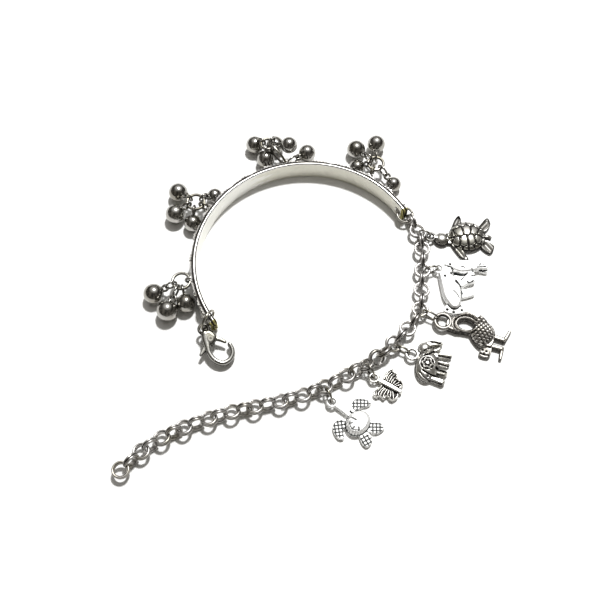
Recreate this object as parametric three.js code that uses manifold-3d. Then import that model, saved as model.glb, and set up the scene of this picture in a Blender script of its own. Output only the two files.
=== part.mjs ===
// Half-cuff charm bracelet, lying open on a table: a rigid cuff bar on its edge with four clusters of
// balls outside it, a lobster clasp at one end, and a rolo chain with six cast charms at the other.
// Millimetres, +Z up, the table at z = 0. Places in plan are measured from one point on the table;
// the finished group is moved so that the middle of its footprint is the origin.

import * as THREE from 'three';
import { mergeVertices } from 'three/addons/utils/BufferGeometryUtils.js';
import Module from 'manifold-3d';

const wasm = await Module();
wasm.setup();

// ---------------------------------------------------------------- driving dimensions

const CUFF = {
  x: 2.3, y: 9.8,          // centre of the half circle in plan
  innerRadius: 30.7,
  wall: 1.2,               // under the relief
  rim: 0.3,                // how far the two border rims stand out
  ridge: 0.5,              // how far the row of bosses between them stands out
  rimHeight: 0.8,
  rimSlope: 0.3,           // height over which a rim falls back to the wall
  height: 6.0,
  endHeight: 5.2,
  endCorner: 0.8,
  taperLength: 16,
  startAngle: 29.5,        // the chain's end, degrees
  endAngle: 217.5,         // the clasp's end
  sectionPitch: 4.2,
  holeRadius: 1.2,
  holeInset: 2.3,          // hole centre to the bar's end
  loopAngles: [190, 149, 101, 57],
  loopOffset: 0.9,         // loop centre outside the wall
  loopRadius: 1.2,
  loopWire: 0.35,
  loopHeight: 4.2,
};
const CUFF_OUTER = CUFF.innerRadius + CUFF.wall;
const LOOP_REACH = CUFF_OUTER + CUFF.loopOffset;      // loop centre from the cuff's centre

const LINK = { inner: 1.7, outer: 2.3, halfWidth: 0.67, segments: 10 };
const CHAIN = { joinedPitch: 3.38, loosePitch: 2.67, linksPerStretch: 3 };

const GAP = 0.2;                          // air between ring wires that thread each other
const RING_WIRE = 0.42;                   // wire radius of the clusters' hub rings
const LINK_WIRE = 0.36;                   // and of the rings that tie them to the cuff
const SMALL_WIRE = 0.3;
const EYE = { wire: 0.34, radius: 0.85, widest: 1.15, sink: 0.14, longest: 2.2, slack: 0.08 };
const LONG_RING_WIDEST = 1.5;
const TIE_WIDEST = 1.8;

// The chain's route in plan, from the cuff to the free end.
const ROUTE = [
  [31.75, 23.75], [33.1, 20.75], [33.9, 17.4], [34.2, 14.1], [34.1, 11.0], [33.8, 7.5], [33.5, 4.4],
  [33.3, 1.3], [33.0, -1.8], [32.3, -4.8], [30.9, -7.3], [28.9, -9.6], [26.7, -12.0], [24.2, -14.8],
  [21.1, -17.4], [17.8, -19.9], [12.3, -23.2], [6.6, -26.2], [1.0, -28.5], [-5.0, -30.3],
  [-11.5, -31.8], [-17.6, -33.2], [-23.3, -35.0], [-28.9, -37.1], [-34.1, -39.6], [-38.1, -42.2],
  [-40.6, -44.2], [-42.6, -46.2], [-44.8, -48.4],
].map(([x, y]) => ({ x, y }));
// How far the chain is twisted along it; at 0 its links stand upright and lie flat by turns.
const TWIST = [
  { at: 0, degrees: 0 },
  { at: 35, degrees: 0 },
  { at: 57, degrees: -71 },
  { at: 108, degrees: -71 },
  { at: 125, degrees: -98 },
];

// Jump rings that gather each cluster: the hub ring lies over its balls, or goes through the cuff's loop.
const HUBS = [
  { name: '1', x: -32.4, y: 3.7, z: 4.2, radius: 2.4, inLoop: true },
  { name: '2', x: -29.6, y: 28.4, z: 5.2, radius: 2.4, inLoop: false },
  { name: '3', x: -9.5, y: 47.6, z: 6.3, radius: 1.8, inLoop: false },
  { name: '4', x: 22.1, y: 42.2, z: 4.2, radius: 2.2, inLoop: false },
];
// The balls: plan place, height where one lies on others, radius, and what its eye threads.
const BALLS = [
  { x: -39.9, y: 0.5, radius: 2.8, on: 'hub', cluster: 0 },
  { x: -35.9, y: -4.6, radius: 2.9, on: 'hub', cluster: 0 },
  { x: -31.0, y: -2.2, radius: 2.6, on: 'hub', cluster: 0 },
  { x: -35.1, y: 33.2, radius: 2.7, on: 'hub', cluster: 1 },
  { x: -35.5, y: 25.9, radius: 2.8, on: 'hub', cluster: 1 },
  { x: -30.4, y: 23.0, radius: 2.5, on: 'hub', cluster: 1 },
  { x: -24.6, y: 32.3, radius: 2.2, on: 'hub', cluster: 1 },
  { x: -13.4, y: 49.9, radius: 2.6, on: 'hub', cluster: 2 },
  { x: -10.1, y: 44.8, radius: 2.6, on: 'hub', cluster: 2 },
  { x: -7.4, y: 49.9, radius: 2.6, on: 'hub', cluster: 2 },
  { x: -3.2, y: 46.9, z: 6.7, radius: 2.4, on: 'hub', cluster: 2 },
  { x: 2.1, y: 47.1, radius: 2.5, on: 'loop', cluster: 2 },
  { x: 16.6, y: 48.2, radius: 2.7, on: 'hub', cluster: 3 },
  { x: 22.6, y: 50.2, radius: 2.6, on: 'hub', cluster: 3 },
  { x: 16.7, y: 42.0, radius: 2.4, on: 'hub', cluster: 3 },
  { x: 27.1, y: 36.3, radius: 2.2, on: 'hub', cluster: 3 },
];

const CLASP_RING = { reach: 1.3, heading: 240, z: 5.28, radius: 2.8, wire: 0.36, eyeTurn: -35 };
const END_RING = { heading: -42, radius: 2.25, wire: 0.33, drop: 0.75 };

// The lobster clasp lies on its side. Its own x runs from the eye to the hook's end, y to its left.
const CLASP = {
  heading: -52,
  tipHeight: 1.3,          // the middle of the hook's end above the table
  length: 12.3,
  halfThick: 1.1,
  slot: 0.55,              // half the width of the slot that the lever turns in
  lever: 0.4,              // half the lever's thickness
  eye: { x: 0.6, y: 0.2, radius: 1.3, wire: 0.4 },
  pivot: { x: 3.9, y: 0.1, pin: 0.35, bore: 0.5, hub: 1.15 },
};
const HOOK = [
  { x: 1.7, y: -0.3, half: 0.9 }, { x: 3.2, y: -0.9, half: 1.2 }, { x: 5.2, y: -1.8, half: 0.95 },
  { x: 6.8, y: -2.45, half: 0.75 }, { x: 9.2, y: -2.4, half: 0.7 }, { x: 11.1, y: -1.2, half: 0.7 },
  { x: 11.5, y: 0.6, half: 0.7 }, { x: 10.7, y: 2.3, half: 0.7 }, { x: 9.4, y: 3.1, half: 0.65 },
  { x: 8.0, y: 3.35, half: 0.6 },
];
const CLASP_HEEL = [
  { x: 1.3, y: 0.8 }, { x: 1.4, y: -0.6 }, { x: 4.0, y: -1.8 }, { x: 5.6, y: -0.9 }, { x: 5.2, y: 1.0 },
  { x: 4.3, y: 1.9 }, { x: 2.6, y: 1.8 },
];
const GATE = [
  { x: 3.9, y: 0.1, half: 0.75 }, { x: 4.5, y: 1.3, half: 0.75 }, { x: 5.5, y: 2.1, half: 0.6 },
  { x: 6.75, y: 2.75, half: 0.42 },
];
const THUMB = [
  { x: 4.1, y: -0.4, half: 0.8 }, { x: 5.0, y: -2.4, half: 0.75 }, { x: 5.9, y: -4.5, half: 0.45 },
];

// The cast charms lie on their backs. Each one's own x runs away from its bail, y to the left.
// Domes are squashed balls, limbs are tapered bars, and slabs are flat plates with straight sides.
const CHARM_BASE = 0.25;                  // underside of the domes and plates
const BAIL_HEIGHT = 1.8;
const CHARMS = [
  {
    name: 'turtle_scuted', x: 36.9, y: 19.1, heading: 0, link: 1, bail: { radius: 1.2, wire: 0.38 },
    domes: [
      { x: 10.45, y: 0.35, long: 5.2, wide: 4.75, high: 3.3 },
      { x: 3.2, y: -0.5, long: 2.2, wide: 2.1, high: 2.6 },
      { x: 16.0, y: 0.3, long: 1.5, wide: 0.8, high: 1.8 },
    ],
    limbs: [{ high: 2.3, points: [{ x: 1.0, y: -0.1, half: 0.45 }, { x: 3.0, y: -0.4, half: 0.9 }] }],
    slabs: [
      { high: 1.5, points: [[3.2, -1.4], [6.6, -1.7], [6.6, 1.4], [3.2, 0.7]] },
      { high: 1.5, points: [[5.7, 2.0], [6.4, 3.7], [7.4, 6.0], [8.65, 7.3], [9.2, 6.0], [8.6, 3.4]] },
      { high: 1.5, points: [[5.6, -1.4], [7.0, -4.4], [8.5, -6.4], [10.3, -7.0], [9.6, -5.2], [8.8, -3.4]] },
      { high: 1.5, points: [[13.6, 2.6], [14.8, 4.6], [16.8, 6.5], [17.45, 4.3], [15.4, 1.8]] },
      { high: 1.5, points: [[15.2, -0.7], [14.0, -2.6], [16.7, -5.0], [17.9, -2.8], [16.4, -0.9]] },
    ],
  },
  {
    name: 'dolphins', x: 38.5, y: 8.9, heading: 0, link: 5, bail: { radius: 1.2, wire: 0.38 },
    domes: [],
    limbs: [
      {
        high: 2.7,
        points: [
          { x: 2.1, y: 1.12, half: 0.45 }, { x: 3.5, y: 1.2, half: 1.05 }, { x: 6.0, y: 0.7, half: 1.85 },
          { x: 8.6, y: 0.8, half: 1.75 }, { x: 11.2, y: 0.7, half: 1.1 }, { x: 13.3, y: 0.35, half: 0.9 },
        ],
      },
      {
        high: 2.9,
        points: [
          { x: 0.6, y: -1.8, half: 0.7 }, { x: 1.9, y: -3.2, half: 1.9 }, { x: 2.9, y: -5.8, half: 2.7 },
          { x: 3.05, y: -8.2, half: 3.0 }, { x: 3.3, y: -10.8, half: 2.2 }, { x: 3.2, y: -12.6, half: 1.7 },
        ],
      },
    ],
    slabs: [
      { high: 2.2, points: [[0.6, -0.9], [1.1, 0.1], [1.7, 0.9], [3.2, 0.9], [3.4, -2.4], [1.0, -2.6]] },
      {
        high: 1.6,
        points: [[4.4, 0.0], [9.0, -0.4], [10.0, -2.1], [9.8, -4.0], [7.9, -4.7], [5.0, -6.0], [4.0, -3.0]],
      },
      { high: 1.6, points: [[5.2, -6.2], [7.5, -6.4], [9.5, -7.75], [7.9, -8.5], [5.4, -8.8]] },
      { high: 1.6, points: [[1.6, -10.8], [5.2, -10.8], [6.0, -13.3], [3.0, -13.7], [0.6, -12.75]] },
      { high: 1.6, points: [[11.0, 1.6], [13.0, 1.9], [13.6, -0.9], [11.0, -0.3]] },
    ],
  },
  {
    name: 'bird', x: 38.6, y: -7.2, heading: -12, link: 9, bail: { radius: 2.1, wire: 0.6 },
    domes: [{ x: 11.0, y: -1.25, long: 3.4, wide: 3.7, high: 3.0 }],
    limbs: [
      { high: 1.5, points: [{ x: 13.0, y: -1.3, half: 0.55 }, { x: 17.2, y: -1.9, half: 0.5 }] },
      { high: 1.5, points: [{ x: 16.9, y: -2.2, half: 0.5 }, { x: 18.2, y: 1.2, half: 0.4 }] },
      { high: 1.5, points: [{ x: 12.8, y: -4.2, half: 0.55 }, { x: 16.9, y: -4.5, half: 0.5 }] },
      { high: 1.5, points: [{ x: 16.7, y: -4.2, half: 0.5 }, { x: 16.5, y: -7.6, half: 0.4 }] },
    ],
    slabs: [
      {
        high: 2.1,
        points: [
          [1.2, 0.9], [3.5, 2.3], [5.1, 3.8], [7.2, 4.45], [9.4, 4.1], [11.2, 3.0], [12.7, 1.3],
          [13.8, -0.3], [14.2, -2.2], [13.6, -4.6], [11.0, -5.4], [9.5, -4.5], [8.5, -3.2],
          [7.6, -2.3], [3.65, -2.3], [1.2, -1.6],
        ],
        hole: { x: 6.3, y: 0.3, long: 2.2, wide: 1.5 },
      },
      { high: 1.8, points: [[12.0, -4.4], [10.8, -7.4], [13.4, -7.7], [13.7, -4.4]] },
    ],
  },
  {
    name: 'elephant', x: 29.75, y: -16.75, heading: -12, link: 13, bail: { radius: 1.5, wire: 0.42 },
    domes: [
      { x: 3.1, y: 2.4, long: 1.8, wide: 1.9, high: 2.7 },
      { x: 4.4, y: -2.5, long: 3.1, wide: 4.6, high: 3.2 },
      { x: 4.1, y: 1.5, long: 1.5, wide: 1.2, high: 3.1 },
    ],
    limbs: [
      {
        high: 2.1,
        points: [
          { x: 3.0, y: 3.2, half: 1.0 }, { x: 5.1, y: 4.25, half: 0.95 }, { x: 7.4, y: 4.65, half: 0.5 },
        ],
      },
      { high: 1.8, points: [{ x: 4.4, y: 1.9, half: 0.4 }, { x: 5.8, y: 2.3, half: 0.4 }, { x: 7.2, y: 3.4, half: 0.3 }] },
      { high: 2.0, points: [{ x: 4.2, y: 0.6, half: 1.0 }, { x: 10.2, y: 1.55, half: 0.65 }] },
      { high: 1.7, points: [{ x: 5.8, y: -1.0, half: 0.9 }, { x: 9.9, y: -0.9, half: 0.75 }] },
      { high: 2.0, points: [{ x: 5.2, y: -3.2, half: 1.0 }, { x: 9.6, y: -3.5, half: 0.85 }] },
      { high: 2.2, points: [{ x: 4.8, y: -5.0, half: 1.2 }, { x: 9.2, y: -6.2, half: 0.95 }] },
    ],
    slabs: [{ high: 1.5, points: [[1.2, 0.9], [1.4, -1.4], [3.0, -1.4], [3.0, 1.4]] }],
  },
  {
    name: 'butterfly', x: 19.4, y: -23.5, heading: -29, link: 16, bail: { radius: 1.15, wire: 0.38 },
    domes: [],
    limbs: [
      {
        high: 2.1,
        points: [{ x: 1.3, y: 0.1, half: 0.55 }, { x: 3.2, y: 0.1, half: 0.8 }, { x: 7.6, y: -0.1, half: 0.45 }],
      },
    ],
    slabs: [
      {
        high: 1.6,
        points: [
          [2.5, -0.2], [2.1, 2.0], [2.1, 3.5], [2.9, 5.0], [3.7, 4.2], [4.8, 4.1], [5.5, 2.9], [6.6, 3.0],
          [7.5, 2.4], [7.4, 1.2], [6.6, -0.2],
        ],
      },
      {
        high: 1.6,
        points: [
          [3.0, 0.2], [2.2, -1.9], [1.65, -3.6], [2.15, -4.4], [3.1, -4.4], [3.65, -3.75], [4.85, -4.0],
          [5.3, -2.8], [6.25, -3.3], [7.0, -3.2], [7.65, -2.4], [7.8, -1.3], [6.9, 0.2],
        ],
      },
    ],
  },
  {
    name: 'turtle_checked', x: 8.3, y: -30.2, heading: -38, link: 20, bail: { radius: 1.2, wire: 0.4 },
    domes: [{ x: 8.6, y: -0.4, long: 3.0, wide: 3.7, high: 3.2 }],
    limbs: [
      {
        high: 2.0,
        points: [{ x: 1.3, y: 0.3, half: 0.8 }, { x: 3.4, y: 0.4, half: 0.95 }, { x: 6.4, y: 0.1, half: 0.8 }],
      },
    ],
    slabs: [
      { high: 1.5, points: [[5.6, 0.4], [4.25, 2.6], [4.2, 4.5], [5.6, 5.8], [8.0, 6.3], [8.0, 5.2], [6.6, 3.1], [7.4, 1.4]] },
      { high: 1.5, points: [[5.9, -1.2], [4.0, -2.9], [3.9, -4.9], [5.2, -6.1], [7.2, -6.7], [8.2, -5.85], [6.7, -4.0], [7.6, -2.6]] },
      { high: 1.5, points: [[10.6, -0.9], [10.6, 1.2], [13.5, 3.4], [14.75, 2.8], [14.0, 0.4]] },
      { high: 1.5, points: [[10.4, -2.3], [12.8, -4.05], [14.1, -4.0], [14.5, -2.7], [13.6, -1.0], [10.9, -1.0]] },
    ],
  },
];
const CHARM_RING = { wire: 0.28, widest: 1.9, linkClear: 0.76 };

const STEEL = { color: 0xb9b8b4, roughness: 0.28, metalness: 1.0 };
const BRIGHT = { color: 0xd6d5d0, roughness: 0.3, metalness: 1.0 };
const BALL_STEEL = { color: 0x8e8c88, roughness: 0.14, metalness: 1.0 };

// ---------------------------------------------------------------- small helpers

const bracelet = new THREE.Group();
const radians = THREE.MathUtils.degToRad;
const vector = (x, y, z) => new THREE.Vector3(x, y, z);
const UP = vector(0, 0, 1);

/** A closed triangle mesh as a solid that can be joined and cut. */
function solidOf(geometry) {
  const bare = new THREE.BufferGeometry();
  bare.setAttribute('position', geometry.getAttribute('position').clone());
  if (geometry.index) bare.setIndex(geometry.index.clone());
  const merged = mergeVertices(bare, 1e-4);
  const mesh = new wasm.Mesh({
    numProp: 3,
    vertProperties: new Float32Array(merged.getAttribute('position').array),
    triVerts: new Uint32Array(merged.index.array),
  });
  return new wasm.Manifold(mesh);
}

function geometryOf(solid) {
  const mesh = solid.getMesh();
  const geometry = new THREE.BufferGeometry();
  geometry.setAttribute('position', new THREE.BufferAttribute(new Float32Array(mesh.vertProperties), 3));
  geometry.setIndex(new THREE.BufferAttribute(new Uint32Array(mesh.triVerts), 1));
  return geometry;
}

/** Joins closed geometries into one and cuts others out of it. */
function fuse(parts, cuts = []) {
  let solid = solidOf(parts[0]);
  for (const part of parts.slice(1)) solid = solid.add(solidOf(part));
  for (const cut of cuts) solid = solid.subtract(solidOf(cut));
  return geometryOf(solid);
}

/** A skin over loops of points with the same count: closed on itself, or capped at both ends. */
function loft(loops, closed = false) {
  const count = loops[0].length;
  const positions = loops.flat().flatMap((p) => [p.x, p.y, p.z]);
  const index = [];
  const spans = closed ? loops.length : loops.length - 1;
  for (let i = 0; i < spans; i += 1) {
    const a = i * count;
    const b = ((i + 1) % loops.length) * count;
    for (let k = 0; k < count; k += 1) {
      const next = (k + 1) % count;
      index.push(a + k, a + next, b + next, a + k, b + next, b + k);
    }
  }
  if (!closed) {
    const last = (loops.length - 1) * count;
    for (let k = 1; k < count - 1; k += 1) {
      index.push(0, k + 1, k);
      index.push(last, last + k, last + k + 1);
    }
  }
  const geometry = new THREE.BufferGeometry();
  geometry.setAttribute('position', new THREE.Float32BufferAttribute(positions, 3));
  geometry.setIndex(index);
  return geometry;
}

/** Places x, y, z axes at a point: turns local geometry into plan geometry. */
function basis(origin, xAxis, yAxis) {
  const x = xAxis.clone().normalize();
  const z = x.clone().cross(yAxis).normalize();
  return new THREE.Matrix4().makeBasis(x, z.clone().cross(x), z).setPosition(origin);
}

/** A wire ring, round or oval: its long axis, its plane's normal, and half sizes along the wire's middle. */
function wireRing({ centre, long, normal, halfLong, halfWide = halfLong, wire, steps = 12, sides = 5 }) {
  const x = long.clone().normalize();
  const n = normal.clone().addScaledVector(x, -normal.dot(x)).normalize();
  const y = n.clone().cross(x);
  const loops = [];
  for (let i = 0; i < steps; i += 1) {
    const turn = (2 * Math.PI * i) / steps;
    const out = x.clone().multiplyScalar(halfWide * Math.cos(turn))
      .addScaledVector(y, halfLong * Math.sin(turn)).normalize();
    const middle = centre.clone().addScaledVector(x, halfLong * Math.cos(turn))
      .addScaledVector(y, halfWide * Math.sin(turn));
    const loop = [];
    for (let k = 0; k < sides; k += 1) {
      const around = (2 * Math.PI * k) / sides;
      loop.push(middle.clone().addScaledVector(out, wire * Math.cos(around))
        .addScaledVector(n, -wire * Math.sin(around)));
    }
    loops.push(loop);
  }
  return loft(loops, true);
}

/** An oval jump ring that takes in the wires at two points, upright or rolled over, and above the table. */
function bridgeRing({ from, fromClear, to, toClear, wire, widest, roll = 0 }) {
  const along = to.clone().sub(from).normalize();
  const low = from.clone().addScaledVector(along, -(fromClear + GAP + wire));
  const high = to.clone().addScaledVector(along, toClear + GAP + wire);
  const halfLong = low.distanceTo(high) / 2;
  const centre = low.add(high).multiplyScalar(0.5);
  const room = Math.sqrt((centre.z - wire) ** 2 - (halfLong * along.z) ** 2) / Math.hypot(along.x, along.y);
  return wireRing({
    centre,
    long: along,
    normal: along.clone().cross(UP).applyAxisAngle(along, radians(roll)),
    halfLong,
    halfWide: Math.min(halfLong, widest, room),
    wire,
    steps: 10,
    sides: 4,
  });
}

function nearestOnRing(ring, point) {
  const offset = point.clone().sub(ring.centre);
  offset.addScaledVector(ring.normal, -offset.dot(ring.normal)).normalize();
  return {
    point: ring.centre.clone().addScaledVector(offset, ring.radius),
    tangent: ring.normal.clone().cross(offset),
  };
}

function addPiece(name, geometry, finish) {
  const mesh = new THREE.Mesh(geometry, new THREE.MeshStandardMaterial(finish));
  mesh.name = name;
  bracelet.add(mesh);
}

// ---------------------------------------------------------------- cuff

const cuffPoint = (angle, radius, z) => vector(
  CUFF.x + radius * Math.cos(radians(angle)),
  CUFF.y + radius * Math.sin(radians(angle)),
  z,
);
const degreesPerMm = 180 / (Math.PI * CUFF.innerRadius);
const smooth = (t) => t * t * (3 - 2 * t);

/** Half the bar's height at a distance from its nearer end: a blunt end with round corners, then a slow taper. */
function halfHeight(fromEnd) {
  const endHalf = CUFF.endHeight / 2;
  const corner = CUFF.endCorner;
  if (fromEnd < corner) return endHalf - corner + Math.sqrt(corner ** 2 - (corner - fromEnd) ** 2);
  const grown = smooth(Math.min(1, (fromEnd - corner) / CUFF.taperLength));
  return endHalf + grown * (CUFF.height / 2 - endHalf);
}

function cuffSection(angle) {
  const fromEnd = Math.min(angle - CUFF.startAngle, CUFF.endAngle - angle) / degreesPerMm;
  const half = halfHeight(fromEnd);
  const middle = CUFF.height / 2;
  const scale = half / (CUFF.height / 2);
  const rim = CUFF_OUTER + CUFF.rim;
  const rimZ = half - CUFF.rimHeight * scale;
  const fieldZ = half - (CUFF.rimHeight + CUFF.rimSlope) * scale;
  const outline = [
    [CUFF.innerRadius, half], [rim, half], [rim, rimZ], [CUFF_OUTER, fieldZ],
    [CUFF_OUTER + CUFF.ridge, 0], [CUFF_OUTER, -fieldZ], [rim, -rimZ], [rim, -half], [CUFF.innerRadius, -half],
  ];
  return outline.map(([radius, z]) => cuffPoint(angle, radius, middle + z));
}

function cuffGeometry() {
  const endZone = 4 * degreesPerMm;
  const first = CUFF.startAngle + endZone;
  const last = CUFF.endAngle - endZone;
  const spans = Math.round((last - first) / (CUFF.sectionPitch * degreesPerMm));
  const sections = [];
  const endSteps = [0, 0.2, 0.8, 2.3];
  endSteps.forEach((step) => sections.push(cuffSection(CUFF.startAngle + step * degreesPerMm)));
  for (let i = 0; i <= spans; i += 1) sections.push(cuffSection(first + ((last - first) * i) / spans));
  endSteps.reverse().forEach((step) => sections.push(cuffSection(CUFF.endAngle - step * degreesPerMm)));
  const loops = cuffLoops.map((loop) => wireRing({
    centre: loop.centre,
    long: loop.outward,
    normal: loop.normal,
    halfLong: CUFF.loopRadius,
    wire: CUFF.loopWire,
    steps: 10,
  }));
  return fuse([loft(sections), ...loops], [holeCutter(holeAngle.start), holeCutter(holeAngle.end)]);
}

const holeAngle = {
  start: CUFF.startAngle + CUFF.holeInset * degreesPerMm,
  end: CUFF.endAngle - CUFF.holeInset * degreesPerMm,
};
const holePoint = (angle) => cuffPoint(angle, CUFF.innerRadius + CUFF.wall / 2, CUFF.height / 2);

function holeCutter(angle) {
  const cutter = new THREE.CylinderGeometry(CUFF.holeRadius, CUFF.holeRadius, 4, 12);
  const outward = cuffPoint(angle, 1, 0).sub(cuffPoint(angle, 0, 0));
  const turn = new THREE.Quaternion().setFromUnitVectors(vector(0, 1, 0), outward);
  return cutter.applyQuaternion(turn).translate(...holePoint(angle).toArray());
}

/** The small loops soldered outside the bar: each lies flat, or stands up where its hub ring goes through it. */
const cuffLoops = CUFF.loopAngles.map((angle, i) => {
  const outward = cuffPoint(angle, 1, 0).sub(cuffPoint(angle, 0, 0));
  return {
    centre: cuffPoint(angle, LOOP_REACH, CUFF.loopHeight),
    outward,
    normal: HUBS[i].inLoop ? outward.clone().cross(UP) : UP.clone(),
    radius: CUFF.loopRadius,
    wire: CUFF.loopWire,
  };
});

addPiece('cuff', cuffGeometry(), BRIGHT);

// ---------------------------------------------------------------- ball clusters

const hubRings = HUBS.map((hub) => ({
  ...hub, centre: vector(hub.x, hub.y, hub.z), normal: UP.clone(), wire: RING_WIRE,
}));

/** A ball with its soldered eye; where its hub is further off, with its own small jump ring too. */
function ballGeometry({ x, y, z, radius, on, cluster }) {
  const centre = vector(x, y, z ?? radius);
  const target = on === 'hub' ? hubRings[cluster] : cuffLoops[cluster];
  const { point, tangent } = nearestOnRing(target, centre);
  const along = point.clone().sub(centre).normalize();
  const reach = point.distanceTo(centre) - radius;
  const parts = [];
  const sphere = new THREE.SphereGeometry(radius, 9, 6);
  sphere.applyMatrix4(basis(centre, tangent, along));
  parts.push(sphere);
  const at = (distance) => centre.clone().addScaledVector(along, radius + distance);
  if (reach <= EYE.longest) {
    const eyeRadius = Math.max(EYE.radius, (reach + target.wire + GAP + EYE.wire + EYE.sink) / 2);
    parts.push(wireRing({
      centre: at(eyeRadius - EYE.sink), long: along, normal: tangent,
      halfLong: eyeRadius, halfWide: Math.min(eyeRadius, EYE.widest), wire: EYE.wire,
      steps: 8, sides: 4,
    }));
  } else {
    const eyeAt = EYE.radius - EYE.sink;
    const nearWire = eyeAt + EYE.radius - EYE.wire - SMALL_WIRE + EYE.slack;
    const farWire = reach + target.wire + GAP + SMALL_WIRE;
    parts.push(wireRing({
      centre: at(eyeAt), long: along, normal: along.clone().cross(tangent),
      halfLong: EYE.radius, wire: EYE.wire, steps: 6, sides: 4,
    }));
    parts.push(wireRing({
      centre: at((nearWire + farWire) / 2), long: along, normal: tangent,
      halfLong: (farWire - nearWire) / 2, halfWide: Math.min(LONG_RING_WIDEST, (farWire - nearWire) / 2),
      wire: SMALL_WIRE, steps: 8, sides: 4,
    }));
  }
  return fuse(parts);
}

BALLS.forEach((ball, i) => addPiece(`ball_${i + 1}`, ballGeometry(ball), BALL_STEEL));

hubRings.forEach((hub, i) => {
  addPiece(`cluster_ring_${hub.name}`, wireRing({
    centre: hub.centre, long: vector(1, 0, 0), normal: hub.normal, halfLong: hub.radius, wire: hub.wire,
  }), STEEL);
  if (hub.inLoop) return;
  const toHub = nearestOnRing(cuffLoops[i], hub.centre).point;
  const toLoop = nearestOnRing(hub, cuffLoops[i].centre).point;
  addPiece(`cluster_link_${hub.name}`, bridgeRing({
    from: toHub, fromClear: cuffLoops[i].wire, to: toLoop, toClear: hub.wire, wire: LINK_WIRE, widest: TIE_WIDEST,
  }), STEEL);
});

// ---------------------------------------------------------------- chain

/** Points at even steps along a smooth curve through the route's points. */
const routeCurve = new THREE.CatmullRomCurve3(ROUTE.map(({ x, y }) => vector(x, y, 0)), false, 'centripetal');
const routeLength = routeCurve.getLength();

function twistAt(distance) {
  const next = Math.max(1, TWIST.findIndex(({ at }) => at >= distance));
  const [a, b] = [TWIST[next - 1], TWIST[next]];
  return a.degrees + ((b.degrees - a.degrees) * (distance - a.at)) / (b.at - a.at);
}

function linkPlaces() {
  const places = [];
  for (let i = 0, distance = 0; distance <= routeLength; i += 1) {
    const t = distance / routeLength;
    const tangent = routeCurve.getTangentAt(t);
    const side = tangent.clone().cross(UP);
    const twist = radians(twistAt(distance));
    const roll = twist + (i % 2 ? 0 : Math.PI / 2);
    const [across, along] = [Math.abs(Math.cos(twist)), Math.abs(Math.sin(twist))];
    const centre = routeCurve.getPointAt(t);
    centre.z = Math.max(
      LINK.outer * across + LINK.halfWidth * along,
      LINK.outer * along + LINK.halfWidth * across,
    );
    places.push({
      centre,
      tangent,
      radius: (LINK.inner + LINK.outer) / 2,
      normal: UP.clone().multiplyScalar(Math.cos(roll)).addScaledVector(side, Math.sin(roll)),
    });
    const joined = (i + 1) % CHAIN.linksPerStretch !== 0;
    distance += joined ? CHAIN.joinedPitch : CHAIN.loosePitch;
  }
  return places;
}

function linkGeometry({ centre, tangent, normal }) {
  const { inner, outer, halfWidth, segments } = LINK;
  const y = normal.clone().cross(tangent);
  const loops = [];
  for (let i = 0; i < segments; i += 1) {
    const turn = (2 * Math.PI * (i + 0.5)) / segments;
    const out = tangent.clone().multiplyScalar(Math.cos(turn)).addScaledVector(y, Math.sin(turn));
    const corner = (radius, across) => centre.clone().addScaledVector(out, radius)
      .addScaledVector(normal, across);
    loops.push([
      corner(inner, halfWidth), corner(outer, halfWidth), corner(outer, -halfWidth),
      corner(inner, -halfWidth),
    ]);
  }
  return loft(loops, true);
}

const links = linkPlaces();
for (let first = 0; first < links.length; first += CHAIN.linksPerStretch) {
  const stretch = links.slice(first, first + CHAIN.linksPerStretch);
  const number = String(first / CHAIN.linksPerStretch + 1).padStart(2, '0');
  addPiece(`chain_${number}`, fuse(stretch.map(linkGeometry)), STEEL);
}

// ---------------------------------------------------------------- rings at the cuff's ends

const planVector = (heading, z = 0) => vector(Math.cos(radians(heading)), Math.sin(radians(heading)), z);

const endLong = planVector(END_RING.heading, -END_RING.drop / (2 * END_RING.radius)).normalize();
addPiece('end_ring', wireRing({
  centre: holePoint(holeAngle.start).addScaledVector(endLong, END_RING.radius),
  long: endLong,
  normal: UP,
  halfLong: END_RING.radius,
  wire: END_RING.wire,
}), STEEL);

const claspOut = planVector(CLASP_RING.heading);
const claspRingCentre = holePoint(holeAngle.end).addScaledVector(claspOut, CLASP_RING.reach)
  .setZ(CLASP_RING.z);
addPiece('clasp_ring', wireRing({
  centre: claspRingCentre,
  long: claspOut,
  normal: claspOut.clone().cross(UP),
  halfLong: CLASP_RING.radius,
  wire: CLASP_RING.wire,
}), STEEL);

// ---------------------------------------------------------------- flat and tapered solids

/** A flat plate with straight sides, cut by an oval hole where it has one. */
function plate(points, low, high, hole) {
  const shape = new THREE.Shape(points.map(([x, y]) => new THREE.Vector2(x, y)));
  if (hole) {
    const path = new THREE.Path();
    path.absellipse(hole.x, hole.y, hole.long, hole.wide, 0, 2 * Math.PI, false);
    shape.holes.push(new THREE.Path(path.getPoints(6).slice(0, -1)));
  }
  return new THREE.ExtrudeGeometry(shape, { depth: high - low, bevelEnabled: false })
    .translate(0, 0, low);
}

/** A squashed ball whose widest level is nearer its underside. */
function dome({ x, y, long, wide, high }, low) {
  const waist = low + 0.3 * (high - low);
  const ball = new THREE.SphereGeometry(1, 10, 5).rotateX(Math.PI / 2);
  const at = ball.getAttribute('position');
  for (let i = 0; i < at.count; i += 1) {
    const z = at.getZ(i);
    at.setXYZ(i, x + long * at.getX(i), y + wide * at.getY(i), waist + z * (z > 0 ? high - waist : waist - low));
  }
  return ball;
}

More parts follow.
